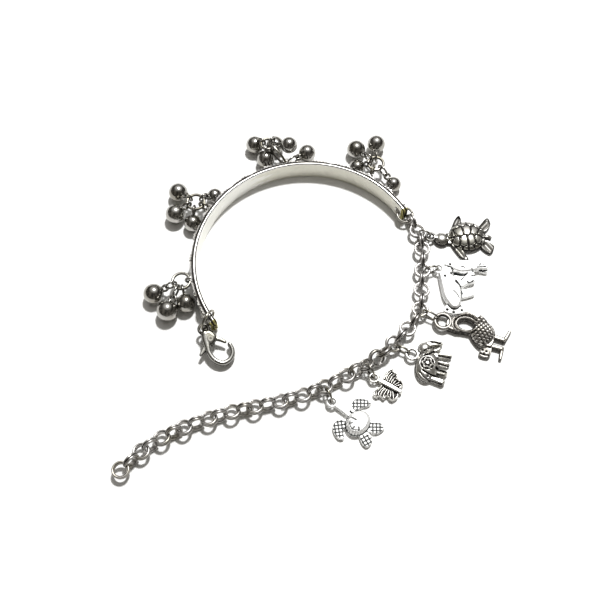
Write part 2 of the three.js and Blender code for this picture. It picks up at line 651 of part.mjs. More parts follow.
/** A tapered bar along points in the plane, with flattened six-sided sections. */
function limb(points, low, high) {
  const middle = (low + high) / 2;
  const loops = points.map(({ x, y, half }, i) => {
    const before = points[Math.max(0, i - 1)];
    const after = points[Math.min(points.length - 1, i + 1)];
    const along = vector(after.x - before.x, after.y - before.y, 0).normalize();
    const side = UP.clone().cross(along);
    const corner = (across, z) => vector(x, y, z).addScaledVector(side, across * half);
    return [
      corner(1, middle), corner(0.55, high), corner(-0.55, high),
      corner(-1, middle), corner(-0.55, low), corner(0.55, low),
    ];
  });
  return loft(loops);
}

/** A closed disc or pin with its axis along z. */
const drum = ({ x, y, radius, half, sides = 12 }) => new THREE.CylinderGeometry(radius, radius, 2 * half, sides)
  .rotateX(Math.PI / 2).translate(x, y, 0);

// ---------------------------------------------------------------- clasp

const eyeTurn = radians(CLASP_RING.eyeTurn);
const eyePoint = claspRingCentre.clone()
  .addScaledVector(claspOut, CLASP_RING.radius * Math.cos(eyeTurn))
  .addScaledVector(UP, CLASP_RING.radius * Math.sin(eyeTurn));
const claspDrop = (eyePoint.z - CLASP.tipHeight) / CLASP.length;
const claspLong = planVector(CLASP.heading, -claspDrop).normalize();
const claspPlace = basis(eyePoint, claspLong, planVector(CLASP.heading + 90))
  .multiply(new THREE.Matrix4().makeTranslation(-CLASP.eye.x, -CLASP.eye.y, 0));

function claspBody() {
  const { eye, pivot, halfThick, slot } = CLASP;
  const parts = [
    limb(HOOK, -halfThick, halfThick),
    plate(CLASP_HEEL.map(({ x, y }) => [x, y]), -halfThick, halfThick),
    wireRing({
      centre: vector(eye.x, eye.y, 0), long: vector(1, 0, 0), normal: UP,
      halfLong: eye.radius, wire: eye.wire, steps: 10,
    }),
  ];
  const room = plate([[2.4, 3.4], [2.4, -0.6], [3.0, -5.0], [6.9, -5.0], [6.4, 3.4]], -slot, slot);
  const pin = drum({ x: pivot.x, y: pivot.y, radius: pivot.pin, half: halfThick - 0.1, sides: 10 });
  return fuse([fuse(parts, [room]), pin]);
}

function claspLever() {
  const { pivot, lever } = CLASP;
  const hub = drum({ x: pivot.x, y: pivot.y, radius: pivot.hub, half: lever });
  const bore = drum({ x: pivot.x, y: pivot.y, radius: pivot.bore, half: 2 * lever });
  return fuse([hub, limb(GATE, -lever, lever), limb(THUMB, -lever, lever)], [bore]);
}

addPiece('clasp_body', claspBody().applyMatrix4(claspPlace), BRIGHT);
addPiece('clasp_lever', claspLever().applyMatrix4(claspPlace), STEEL);

// ---------------------------------------------------------------- charms

/** Where a charm's jump ring crosses its link: the nearest place on a flat one, the top of any other. */
function hangingPoint(link, bailCentre) {
  if (Math.abs(link.normal.z) > 0.7) return nearestOnRing(link, bailCentre).point;
  const across = link.normal.clone().cross(link.tangent);
  if (across.z < 0) across.negate();
  return link.centre.clone().addScaledVector(across, link.radius);
}

CHARMS.forEach((charm, i) => {
  const { bail, heading } = charm;
  const parts = [
    wireRing({
      centre: vector(0, 0, BAIL_HEIGHT), long: vector(1, 0, 0), normal: UP,
      halfLong: bail.radius, wire: bail.wire, steps: 10, sides: 4,
    }),
    ...charm.domes.map((each) => dome(each, CHARM_BASE)),
    ...charm.limbs.map(({ points, high }) => limb(points, CHARM_BASE, high)),
    ...charm.slabs.map(({ points, high, hole }) => plate(points, CHARM_BASE, high, hole)),
  ];
  const place = new THREE.Matrix4().makeRotationZ(radians(heading))
    .setPosition(charm.x, charm.y, -CHARM_BASE);
  addPiece(`charm_${charm.name}`, fuse(parts).applyMatrix4(place), BRIGHT);

  const bailCentre = vector(charm.x, charm.y, BAIL_HEIGHT - CHARM_BASE);
  const hanging = hangingPoint(links[charm.link], bailCentre);
  const toChain = hanging.clone().sub(bailCentre).setZ(0).normalize();
  addPiece(`charm_ring_${i + 1}`, bridgeRing({
    from: bailCentre.clone().addScaledVector(toChain, bail.radius),
    fromClear: bail.wire,
    to: hanging,
    toClear: CHARM_RING.linkClear,
    wire: CHARM_RING.wire,
    widest: CHARM_RING.widest,
    roll: charm.ringRoll ?? 0,
  }), STEEL);
});

// The middle of the bracelet's footprint is the origin.
const extent = new THREE.Box3().setFromObject(bracelet, true);
const footing = extent.getCenter(vector(0, 0, 0)).setZ(extent.min.z);
bracelet.position.copy(footing).negate();

export default bracelet;
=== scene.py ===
"""An open charm bracelet on a pale table: half cuff, ball clusters, clasp, rolo chain and cast charms.

Shapes are worked out in plan millimetres, in the same axes as the CAD part before its footprint is
centred, and turned into metres in the row frame when each mesh is made.
"""

import math
from collections import namedtuple

import bpy
import numpy as np
from mathutils import Matrix, Vector


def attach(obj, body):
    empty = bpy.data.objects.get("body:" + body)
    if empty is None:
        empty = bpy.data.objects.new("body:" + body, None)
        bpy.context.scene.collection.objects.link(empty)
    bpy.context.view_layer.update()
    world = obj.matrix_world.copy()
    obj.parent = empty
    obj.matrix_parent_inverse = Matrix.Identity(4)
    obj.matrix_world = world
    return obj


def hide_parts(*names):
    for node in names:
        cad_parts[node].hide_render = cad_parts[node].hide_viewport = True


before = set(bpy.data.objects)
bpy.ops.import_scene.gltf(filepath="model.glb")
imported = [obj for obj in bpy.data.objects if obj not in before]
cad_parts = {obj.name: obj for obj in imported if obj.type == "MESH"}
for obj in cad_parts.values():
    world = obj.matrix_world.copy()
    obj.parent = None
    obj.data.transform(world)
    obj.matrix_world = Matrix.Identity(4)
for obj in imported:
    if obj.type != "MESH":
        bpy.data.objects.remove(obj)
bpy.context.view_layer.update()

FOOTPRINT_MIDDLE = np.array((4.977768, 1.036694, 0.0))   # plan point that is the origin of the row frame
MILLIMETRE = 0.001
UP = np.array((0.0, 0.0, 1.0))
TAU = 2 * math.pi

# ---------------------------------------------------------------- sizes, the same as the CAD part's

CUFF_CENTRE = np.array((2.3, 9.8, 0.0))
CUFF_INNER = 30.7
CUFF_OUTER = 31.9
CUFF_HEIGHT = 6.0
CUFF_END_HEIGHT = 5.2
CUFF_END_CORNER = 0.8
CUFF_TAPER = 16.0
CUFF_START = 29.5
CUFF_END = 217.5
HOLE_RADIUS = 1.2
HOLE_INSET = 2.3
LOOP_ANGLES = (190, 149, 101, 57)
LOOP_RADIUS = 1.2
LOOP_WIRE = 0.35
LOOP_HEIGHT = 4.2
LOOP_REACH = CUFF_OUTER + 0.9
DEGREES_PER_MM = 180 / (math.pi * CUFF_INNER)

LINK_INNER = 1.7
LINK_OUTER = 2.3
LINK_HALF_WIDTH = 0.67
JOINED_PITCH = 3.38
LOOSE_PITCH = 2.67
LINKS_PER_STRETCH = 3

GAP = 0.2
RING_WIRE = 0.42
LINK_WIRE = 0.36
SMALL_WIRE = 0.3
EYE_WIRE = 0.34
EYE_RADIUS = 0.85
EYE_WIDEST = 1.15
EYE_SINK = 0.14
EYE_LONGEST = 2.2
EYE_SLACK = 0.08
LONG_RING_WIDEST = 1.5
TIE_WIDEST = 1.8

ROUTE = (
    (31.75, 23.75), (33.1, 20.75), (33.9, 17.4), (34.2, 14.1), (34.1, 11.0), (33.8, 7.5), (33.5, 4.4),
    (33.3, 1.3), (33.0, -1.8), (32.3, -4.8), (30.9, -7.3), (28.9, -9.6), (26.7, -12.0), (24.2, -14.8),
    (21.1, -17.4), (17.8, -19.9), (12.3, -23.2), (6.6, -26.2), (1.0, -28.5), (-5.0, -30.3),
    (-11.5, -31.8), (-17.6, -33.2), (-23.3, -35.0), (-28.9, -37.1), (-34.1, -39.6), (-38.1, -42.2),
    (-40.6, -44.2), (-42.6, -46.2), (-44.8, -48.4),
)
TWIST_AT = (0, 35, 57, 108, 125)
TWIST_DEGREES = (0, 0, -71, -71, -98)

Hub = namedtuple("Hub", "x y z radius in_loop")
HUBS = (
    Hub(-32.4, 3.7, 4.2, 2.4, True),
    Hub(-29.6, 28.4, 5.2, 2.4, False),
    Hub(-9.5, 47.6, 6.3, 1.8, False),
    Hub(22.1, 42.2, 4.2, 2.2, False),
)
Ball = namedtuple("Ball", "x y z radius on cluster")
BALLS = (
    Ball(-39.9, 0.5, 2.8, 2.8, "hub", 0),
    Ball(-35.9, -4.6, 2.9, 2.9, "hub", 0),
    Ball(-31.0, -2.2, 2.6, 2.6, "hub", 0),
    Ball(-35.1, 33.2, 2.7, 2.7, "hub", 1),
    Ball(-35.5, 25.9, 2.8, 2.8, "hub", 1),
    Ball(-30.4, 23.0, 2.5, 2.5, "hub", 1),
    Ball(-24.6, 32.3, 2.2, 2.2, "hub", 1),
    Ball(-13.4, 49.9, 2.6, 2.6, "hub", 2),
    Ball(-10.1, 44.8, 2.6, 2.6, "hub", 2),
    Ball(-7.4, 49.9, 2.6, 2.6, "hub", 2),
    Ball(-3.2, 46.9, 6.7, 2.4, "hub", 2),
    Ball(2.1, 47.1, 2.5, 2.5, "loop", 2),
    Ball(16.6, 48.2, 2.7, 2.7, "hub", 3),
    Ball(22.6, 50.2, 2.6, 2.6, "hub", 3),
    Ball(16.7, 42.0, 2.4, 2.4, "hub", 3),
    Ball(27.1, 36.3, 2.2, 2.2, "hub", 3),
)

CLASP_RING_REACH = 1.3
CLASP_RING_HEADING = 240
CLASP_RING_Z = 5.28
CLASP_RING_RADIUS = 2.8
CLASP_RING_WIRE = 0.36
CLASP_EYE_TURN = -35
END_RING_HEADING = -42
END_RING_RADIUS = 2.25
END_RING_WIRE = 0.33
END_RING_DROP = 0.75

CLASP_HEADING = -52
CLASP_TIP_HEIGHT = 1.3
CLASP_LENGTH = 12.3
CLASP_HALF_THICK = 1.1
CLASP_SLOT = 0.55
LEVER_HALF = 0.4
CLASP_EYE = (0.6, 0.2)
CLASP_EYE_RADIUS = 1.3
CLASP_EYE_WIRE = 0.4
PIVOT = (3.9, 0.1)
PIN_RADIUS = 0.35
BORE_RADIUS = 0.5
HUB_RADIUS = 1.15
# columns: x, y, half width
HOOK = (
    (1.7, -0.3, 0.9), (3.2, -0.9, 1.2), (5.2, -1.8, 0.95), (6.8, -2.45, 0.75), (9.2, -2.4, 0.7),
    (11.1, -1.2, 0.7), (11.5, 0.6, 0.7), (10.7, 2.3, 0.7), (9.4, 3.1, 0.65), (8.0, 3.35, 0.6),
)
GATE = ((3.9, 0.1, 0.75), (4.5, 1.3, 0.75), (5.5, 2.1, 0.6), (6.75, 2.75, 0.42))
THUMB = ((4.1, -0.4, 0.8), (5.0, -2.4, 0.75), (5.9, -4.5, 0.45))
CLASP_HEEL = ((1.3, 0.8), (1.4, -0.6), (4.0, -1.8), (5.6, -0.9), (5.2, 1.0), (4.3, 1.9), (2.6, 1.8))
CLASP_ROOM = ((2.4, 3.4), (2.4, -0.6), (3.0, -5.0), (6.9, -5.0), (6.4, 3.4))

CHARM_BASE = 0.25
BAIL_HEIGHT = 1.8
CHARM_RING_WIRE = 0.28
CHARM_RING_WIDEST = 1.9
CHARM_LINK_CLEAR = 0.76

# ---------------------------------------------------------------- vectors and meshes


def vec(x, y, z=0.0):
    return np.array((x, y, z), dtype=float)


def unit(v):
    v = np.asarray(v, dtype=float)
    return v / np.linalg.norm(v)


def plan_vector(heading, z=0.0):
    return vec(math.cos(math.radians(heading)), math.sin(math.radians(heading)), z)


def smooth(t):
    t = np.clip(t, 0.0, 1.0)
    return t * t * (3 - 2 * t)


def bump(distance, half):
    """A soft hill of height 1 with about that half width."""
    return np.exp(-((distance / half) ** 2))


def curve_through(points, steps=10, closed=False):
    """A smooth curve through rows of numbers, the first two of which are a place in the plane."""
    rows = np.array(points, dtype=float)
    if closed:
        padded = np.vstack((rows[-1], rows, rows[0], rows[1]))
    else:
        padded = np.vstack((2 * rows[0] - rows[1], rows, 2 * rows[-1] - rows[-2]))
    pieces = []
    t = np.linspace(0, 1, steps, endpoint=False)[:, None]
    for p0, p1, p2, p3 in zip(padded, padded[1:], padded[2:], padded[3:]):
        size = [max(1e-6, np.linalg.norm(b[:2] - a[:2])) ** 0.5 for a, b in ((p0, p1), (p1, p2), (p2, p3))]
        m1 = (p2 - p1) + size[1] * ((p1 - p0) / size[0] - (p2 - p0) / (size[0] + size[1]))
        m2 = (p2 - p1) + size[1] * ((p3 - p2) / size[2] - (p3 - p1) / (size[1] + size[2]))
        pieces.append((2 * t**3 - 3 * t**2 + 1) * p1 + (t**3 - 2 * t**2 + t) * m1
                      + (3 * t**2 - 2 * t**3) * p2 + (t**3 - t**2) * m2)
    if not closed:
        pieces.append(rows[-1:])
    return np.vstack(pieces)


class Skin:
    """Points in plan millimetres, faces over them, and two values at each point.

    The darkness value runs from 0, clean, to 1, black, and holds both patina and painted shade; finish is 0
    where polished, 0.5 where satin and 1 on bare brass, and the cuff's painted shadow raises it a little.
    """

    def __init__(self):
        self.points = []
        self.tarnish_and_shade = []
        self.finish = []
        self.faces = []
        self.count = 0

    def add(self, points, faces, tarnish_and_shade=0.0, finish=0.0):
        points = np.asarray(points, dtype=float).reshape(-1, 3)
        faces = [np.asarray(group, dtype=int) for group in faces if len(group)]
        if signed_volume(points, faces) < 0:
            faces = [group[:, ::-1] for group in faces]
        self.points.append(points)
        self.tarnish_and_shade.append(np.broadcast_to(tarnish_and_shade, len(points)).astype(float))
        self.finish.append(np.broadcast_to(finish, len(points)).astype(float))
        self.faces.extend(group + self.count for group in faces)
        self.count += len(points)

    def place(self, matrix):
        """Moves every point by a 4x4 matrix."""
        self.points = [points @ matrix[:3, :3].T + matrix[:3, 3] for points in self.points]


def signed_volume(points, faces):
    total = 0.0
    for group in faces:
        first = points[group[:, 0]]
        for k in range(1, group.shape[1] - 1):
            total += np.einsum("ij,ij->", first, np.cross(points[group[:, k]], points[group[:, k + 1]]))
    return total


def grid_faces(rows, columns, wrap_rows=False):
    """Quads over rings of points stored row by row."""
    a, b = np.meshgrid(np.arange(rows if wrap_rows else rows - 1), np.arange(columns), indexing="ij")
    a_next = (a + 1) % rows
    b_next = (b + 1) % columns
    corners = ((a, b), (a, b_next), (a_next, b_next), (a_next, b))
    return np.stack([row * columns + column for row, column in corners], -1).reshape(-1, 4)


def tube_faces(rows, columns):
    """The wall and both ends of a closed tube of rings stored row by row."""
    ring = np.arange(columns)[None, :]
    return [grid_faces(rows, columns), ring[:, ::-1], (rows - 1) * columns + ring]


def mesh_from(name, points, groups, tarnish_and_shade, finish, scale):
    mesh = bpy.data.meshes.new(name)
    mesh.vertices.add(len(points))
    mesh.vertices.foreach_set("co", (points * scale).astype(np.float32).ravel())
    corners = np.concatenate([group.ravel() for group in groups])
    sizes = np.concatenate([np.full(len(group), group.shape[1]) for group in groups])
    starts = np.concatenate(((0,), np.cumsum(sizes)[:-1]))
    mesh.loops.add(len(corners))
    mesh.loops.foreach_set("vertex_index", corners.astype(np.int32))
    mesh.polygons.add(len(sizes))
    mesh.polygons.foreach_set("loop_start", starts.astype(np.int32))
    for label, values in (("tarnish_and_shade", tarnish_and_shade), ("finish", finish)):
        layer = mesh.attributes.new(label, "FLOAT", "POINT")
        layer.data.foreach_set("value", values.astype(np.float32))
    mesh.update(calc_edges=True)
    mesh.polygons.foreach_set("use_smooth", np.ones(len(sizes), dtype=bool))
    return mesh


def add_object(name, data):
    added = bpy.data.objects.new(name, data)
    bpy.context.scene.collection.objects.link(added)
    return added


def make_piece(name, skin, material, nodes, body="bracelet", crease=None):
    """Turns a skin into an object in the row frame that stands for CAD nodes."""
    points = np.concatenate(skin.points) - FOOTPRINT_MIDDLE
    if not np.isfinite(points).all():
        raise ValueError(f"{name} has a point that isn't a finite number")
    tarnish_and_shade = np.concatenate(skin.tarnish_and_shade)
    finish = np.concatenate(skin.finish)
    mesh = mesh_from(name, points, skin.faces, tarnish_and_shade, finish, MILLIMETRE)
    if crease is not None:
        mesh.set_sharp_from_angle(angle=math.radians(crease))
    mesh.materials.append(material)
    piece = add_object(name, mesh)
    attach(piece, body)
    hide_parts(*nodes)
    return piece


# ---------------------------------------------------------------- wire


def add_ring(skin, centre, long, normal, half_long, wire, half_wide=None, seam=None, tarnish_and_shade=0.25, sides=14):
    """A round or oval wire ring; seam is the turn, in degrees, at which it is cut and bent to."""
    half_wide = half_long if half_wide is None else half_wide
    x = unit(long)
    n = unit(normal - np.dot(normal, x) * x)
    y = np.cross(n, x)
    turns = np.linspace(0, TAU, 60, endpoint=False)
    thick = np.ones_like(turns)
    if seam is not None:
        at = math.radians(seam)
        near = at + np.array((-2.5, -1.4, -0.7, 0.0, 0.7, 1.4, 2.5)) * 0.07 / half_long
        turns = np.sort(np.concatenate((turns, near % TAU)))
        turns = turns[np.diff(turns, append=TAU) > 1e-6]     # a seam may fall on a section that is there
        apart = (turns - at + math.pi) % TAU - math.pi
        thick = 1 - 0.5 * bump(apart * half_long, 0.06)
    cos, sin = np.cos(turns)[:, None], np.sin(turns)[:, None]
    out = x * half_wide * cos + y * half_long * sin
    out /= np.linalg.norm(out, axis=1)[:, None]
    middle = centre + x * half_long * cos + y * half_wide * sin
    around = np.linspace(0, TAU, sides, endpoint=False)
    ring = out[:, None, :] * np.cos(around)[None, :, None] - n * np.sin(around)[None, :, None]
    points = middle[:, None, :] + ring * (wire * thick)[:, None, None]
    shade = np.repeat(tarnish_and_shade + 1.2 * (1 - thick), sides)
    inward = np.tile(smooth(-np.cos(around)) * 0.25, len(turns))
    skin.add(points, [grid_faces(len(turns), sides, wrap_rows=True)], np.clip(shade + inward, 0, 1))


def nearest_on_ring(centre, normal, radius, point):
    offset = point - centre
    offset = unit(offset - np.dot(offset, normal) * normal)
    return centre + offset * radius, np.cross(normal, offset)


def add_bridge(skin, start, start_clear, end, end_clear, wire, widest, seam):
    """An upright oval jump ring that takes in the wires at two points and stays above the table."""
    along = unit(end - start)
    low = start - along * (start_clear + GAP + wire)
    high = end + along * (end_clear + GAP + wire)
    half_long = np.linalg.norm(high - low) / 2
    centre = (low + high) / 2
    room = math.sqrt((centre[2] - wire) ** 2 - (half_long * along[2]) ** 2) / math.hypot(along[0], along[1])
    half_wide = min(half_long, widest, room)
    add_ring(skin, centre, along, np.cross(along, UP), half_long, wire, half_wide, seam)


# ---------------------------------------------------------------- materials


def shader_of(owner, name):
    """The node tree of a material or world, and the node in it that shades."""
    owner.use_nodes = True
    return owner.node_tree, owner.node_tree.nodes[name]


def add_noise(tree, coordinates, scale, detail, distortion=0.0):
    noise = tree.nodes.new("ShaderNodeTexNoise")
    for name, amount in (("Scale", scale), ("Detail", detail), ("Distortion", distortion)):
        noise.inputs[name].default_value = amount
    tree.links.new(coordinates, noise.inputs["Vector"])
    return noise.outputs["Fac"]


def map_range(tree, value, from_low, from_high, to_low=0.0, to_high=1.0, kind="SMOOTHSTEP"):
    mapping = tree.nodes.new("ShaderNodeMapRange")
    mapping.interpolation_type = kind
    ends = {"From Min": from_low, "From Max": from_high, "To Min": to_low, "To Max": to_high}
    for name, amount in ends.items():
        mapping.inputs[name].default_value = amount
    tree.links.new(value, mapping.inputs["Value"])
    return mapping.outputs["Result"]


def scaled_sum(tree, value, scale, added):
    """value times scale, plus added."""
    total = tree.nodes.new("ShaderNodeMath")
    total.operation = "MULTIPLY_ADD"
    total.inputs[1].default_value = scale
    tree.links.new(value, total.inputs[0])
    tree.links.new(added, total.inputs[2])
    return total.outputs[0]


def read_attribute(tree, name):
    attribute = tree.nodes.new("ShaderNodeAttribute")
    attribute.attribute_name = name
    return attribute.outputs["Fac"]


def mix_colour(tree, factor, first, second):
    """first and second are colours, or sockets that give one."""
    mix = tree.nodes.new("ShaderNodeMix")
    mix.data_type = "RGBA"
    tree.links.new(factor, mix.inputs["Factor"])
    for label, value in (("A", first), ("B", second)):
        socket = next(s for s in mix.inputs if s.name == label and s.type == "RGBA")
        if isinstance(value, tuple):
            socket.default_value = (*value, 1.0)
        else:
            tree.links.new(value, socket)
    return next(s for s in mix.outputs if s.type == "RGBA")


BRASS = (0.42, 0.38, 0.16)
PATINA = (0.035, 0.032, 0.030)
SATIN = (0.95, 0.945, 0.91)
SATIN_ROUGHNESS = 0.4    # added to the metal's own
GRAIN_ROUGHNESS = 0.12
SCRATCH_STRENGTH = 0.12
SCRATCH_DEPTH = 0.00004  # metres


def silver(name, bright, warm, dark, roughness, dark_roughness, spread=0.35):
    """Drawn or cast white metal: bright where proud and rubbed, dark where patina and painted shade are
    marked.
    """
    material = bpy.data.materials.new(name)
    tree, shader = shader_of(material, "Principled BSDF")
    coordinates = tree.nodes.new("ShaderNodeTexCoord").outputs["Object"]
    blotch = add_noise(tree, coordinates, 420.0, 4.0, 0.6)
    tint = add_noise(tree, coordinates, 160.0, 3.0, 0.3)
    grain = add_noise(tree, coordinates, 2600.0, 3.0)
    finish = read_attribute(tree, "finish")
    satin = map_range(tree, finish, 0.0, 0.5)
    bare = map_range(tree, finish, 0.6, 1.0)
    blotched = scaled_sum(tree, blotch, spread, read_attribute(tree, "tarnish_and_shade"))
    deep = map_range(tree, blotched, 0.5 * spread + 0.12, 0.5 * spread + 0.72)
    tinted = mix_colour(tree, map_range(tree, tint, 0.42, 0.68), bright, warm)
    tinted = mix_colour(tree, bare, mix_colour(tree, satin, tinted, SATIN), BRASS)
    tree.links.new(mix_colour(tree, deep, tinted, dark), shader.inputs["Base Color"])
    shader.inputs["Metallic"].default_value = 1.0
    rough = map_range(tree, deep, 0.0, 1.0, roughness, dark_roughness, "LINEAR")
    worn = scaled_sum(tree, grain, GRAIN_ROUGHNESS, rough)
    tree.links.new(scaled_sum(tree, satin, SATIN_ROUGHNESS, worn), shader.inputs["Roughness"])
    relief = tree.nodes.new("ShaderNodeBump")
    relief.inputs["Strength"].default_value = SCRATCH_STRENGTH
    relief.inputs["Distance"].default_value = SCRATCH_DEPTH
    tree.links.new(grain, relief.inputs["Height"])
    tree.links.new(relief.outputs["Normal"], shader.inputs["Normal"])
    return material


# columns: name, bright, warm, dark, roughness, roughness where dark, how blotchy
CASTINGS = {
    "dark": silver("cast dark silver", (0.58, 0.57, 0.54), (0.42, 0.41, 0.36), PATINA, 0.22, 0.45),
    "aged": silver("cast aged silver", (0.50, 0.48, 0.45), (0.38, 0.36, 0.32), PATINA, 0.36, 0.5, 0.4),
    "light": silver("cast light silver", (0.70, 0.69, 0.66), (0.52, 0.51, 0.46), PATINA, 0.32, 0.5),
    # The white casting's pale colour is a painted highlight: the blown white of flat tops facing the window.
    "white": silver(
        "cast silver with painted highlight", (0.93, 0.93, 0.92), (0.88, 0.88, 0.87), (0.05, 0.055, 0.055), 0.6, 0.5, 0.2),
}
cuff_silver = silver("cuff silver", (0.62, 0.61, 0.59), (0.52, 0.50, 0.46), PATINA, 0.24, 0.5)
chain_silver = silver("chain silver", (0.48, 0.465, 0.45), (0.35, 0.33, 0.28), PATINA, 0.3, 0.42, 0.6)
ring_silver = silver("ring silver", (0.38, 0.365, 0.33), (0.26, 0.24, 0.18), PATINA, 0.22, 0.4, 0.8)
ball_steel = silver(
    "ball steel", (0.43, 0.42, 0.40), (0.28, 0.265, 0.23), (0.06, 0.055, 0.045), 0.13, 0.34, 1.1)
clasp_silver = silver("clasp silver", (0.33, 0.325, 0.305), (0.23, 0.22, 0.18), PATINA, 0.2, 0.4, 0.6)


def build_ring(name, node, add, *sizes, seam):
    """A piece that is one jump ring, made by add_ring or add_bridge."""
    skin = Skin()
    add(skin, *sizes, seam=seam)
    make_piece(name, skin, ring_silver, [node])


def cut_away(target, tool):
    boolean = target.modifiers.new("cut", "BOOLEAN")
    boolean.object = tool
    boolean.operation = "DIFFERENCE"
    boolean.solver = "EXACT"


def evaluated_mesh(target):
    bpy.context.view_layer.update()
    return bpy.data.meshes.new_from_object(target.evaluated_get(bpy.context.evaluated_depsgraph_get()))


# ---------------------------------------------------------------- cuff


def cuff_point(angle, radius, z):
    return CUFF_CENTRE + radius * plan_vector(angle) + UP * z


def half_height(from_end):
    """Half the bar's height at a distance from its nearer end: blunt, round-cornered, then tapering."""
    end_half = CUFF_END_HEIGHT / 2
    short = np.clip(CUFF_END_CORNER - from_end, 0, CUFF_END_CORNER)
    grown = smooth((from_end - CUFF_END_CORNER) / CUFF_TAPER)
    tapered = end_half + grown * (CUFF_HEIGHT / 2 - end_half)
    return tapered - CUFF_END_CORNER + np.sqrt(CUFF_END_CORNER ** 2 - short ** 2)


BOSS_PITCH = 6.2         # along the cuff's outer face, middle to middle of the oval bosses
BEAD_PITCH = 0.9         # of the rope on its two borders


# The outer face's pattern, in millimetres: half lengths, half heights and how far each form stands out.
BORDER_FROM = 2.0        # from the bar's mid height
BORDER_TO = 2.95
BORDER_SOFT = 0.15
ROPE_LEAN = 0.8          # how far along a strand runs over its height
BOSS_LONG, BOSS_HIGH, BOSS_RISE = 1.6, 1.5, 0.9
BOSS_GROOVE_AT = 0.62    # as a share of the boss
LEAF_LONG, LEAF_HIGH, LEAF_RISE = 1.0, 0.7, 0.65
LEAF_BACK, LEAF_APART = 0.25, 1.1
BEAD_HALF, BEAD_RISE = 0.55, 0.7


def cuff_relief(along, level):
    """How far the outer face stands out, in millimetres; level runs from -1 to 1 over the bar's height."""
    z = level * CUFF_HEIGHT / 2
    border = smooth((np.abs(z) - BORDER_FROM) / BORDER_SOFT)
    border = border * (1 - smooth((np.abs(z) - BORDER_TO) / BORDER_SOFT))
    rope = 0.5 + 0.5 * np.cos(TAU * (along - ROPE_LEAN * np.sign(z) * z) / BEAD_PITCH)
    wander = 0.5 + 0.3 * np.sin(along * 0.87 + 0.7) + 0.2 * np.sin(along * 1.91 + 2.0 * z)
    out = border * (0.15 + 0.45 * rope * wander + 0.45 * wander)
    phase = (along / BOSS_PITCH) % 1.0 - 0.5
    boss_x = phase * BOSS_PITCH
    boss = 1 - (boss_x / BOSS_LONG) ** 2 - (z / BOSS_HIGH) ** 2
    out = out + BOSS_RISE * np.sqrt(np.clip(boss, 0, 1))
    petal_x = (np.abs(phase) - 0.5) * BOSS_PITCH
    for across in (-1, 1):
        leaf = 1 - ((petal_x + LEAF_BACK) / LEAF_LONG) ** 2 - ((z - across * LEAF_APART) / LEAF_HIGH) ** 2
        out = out + LEAF_RISE * np.sqrt(np.clip(leaf, 0, 1))
    bead = 1 - (petal_x / BEAD_HALF) ** 2 - (z / BEAD_HALF) ** 2
    out = out + BEAD_RISE * np.sqrt(np.clip(bead, 0, 1))
    ring = np.sqrt((boss_x / BOSS_LONG) ** 2 + (z / BOSS_HIGH) ** 2)
    return out - 0.3 * bump(ring - BOSS_GROOVE_AT, 0.13)


# The bar's section without relief: radius beyond the inner face, and height below the top edge.
TOP_PROFILE = (
    (0.0, 0.42), (0.0, 0.22), (0.02, 0.1), (0.07, 0.02), (0.15, 0.0), (0.21, 0.06), (0.25, 0.24),
    (0.3, 0.34), (0.37, 0.32), (0.42, 0.14), (0.49, 0.02), (0.6, 0.0), (0.74, 0.0), (0.86, 0.04),
    (0.95, 0.16), (1.05, 0.26), (1.15, 0.3),
)
CUFF_SECTIONS = 860      # along the bar, between its ends
END_SECTIONS = (0.0, 0.01, 0.04, 0.1, 0.18, 0.28, 0.4, 0.55, 0.7, 0.82)
FIRST_SECTION = 0.95     # from the bar's end
INNER_LEVELS = 15        # over the height of the inner face
OUTER_LEVELS = 47
INNER_EDGE = 0.45        # from each face's edge to the bar's
OUTER_EDGE = 0.34
END_ROUND = 0.12
BRASS_REACH = 0.9        # the plating is worn off this near the bar's ends
PAINTED_SHADE_UNTIL = 84          # degrees of inner face, from the chain's end, under a painted shadow

hub_centres = [vec(hub.x, hub.y, hub.z) for hub in HUBS]
loop_centres = [cuff_point(angle, LOOP_REACH, LOOP_HEIGHT) for angle in LOOP_ANGLES]


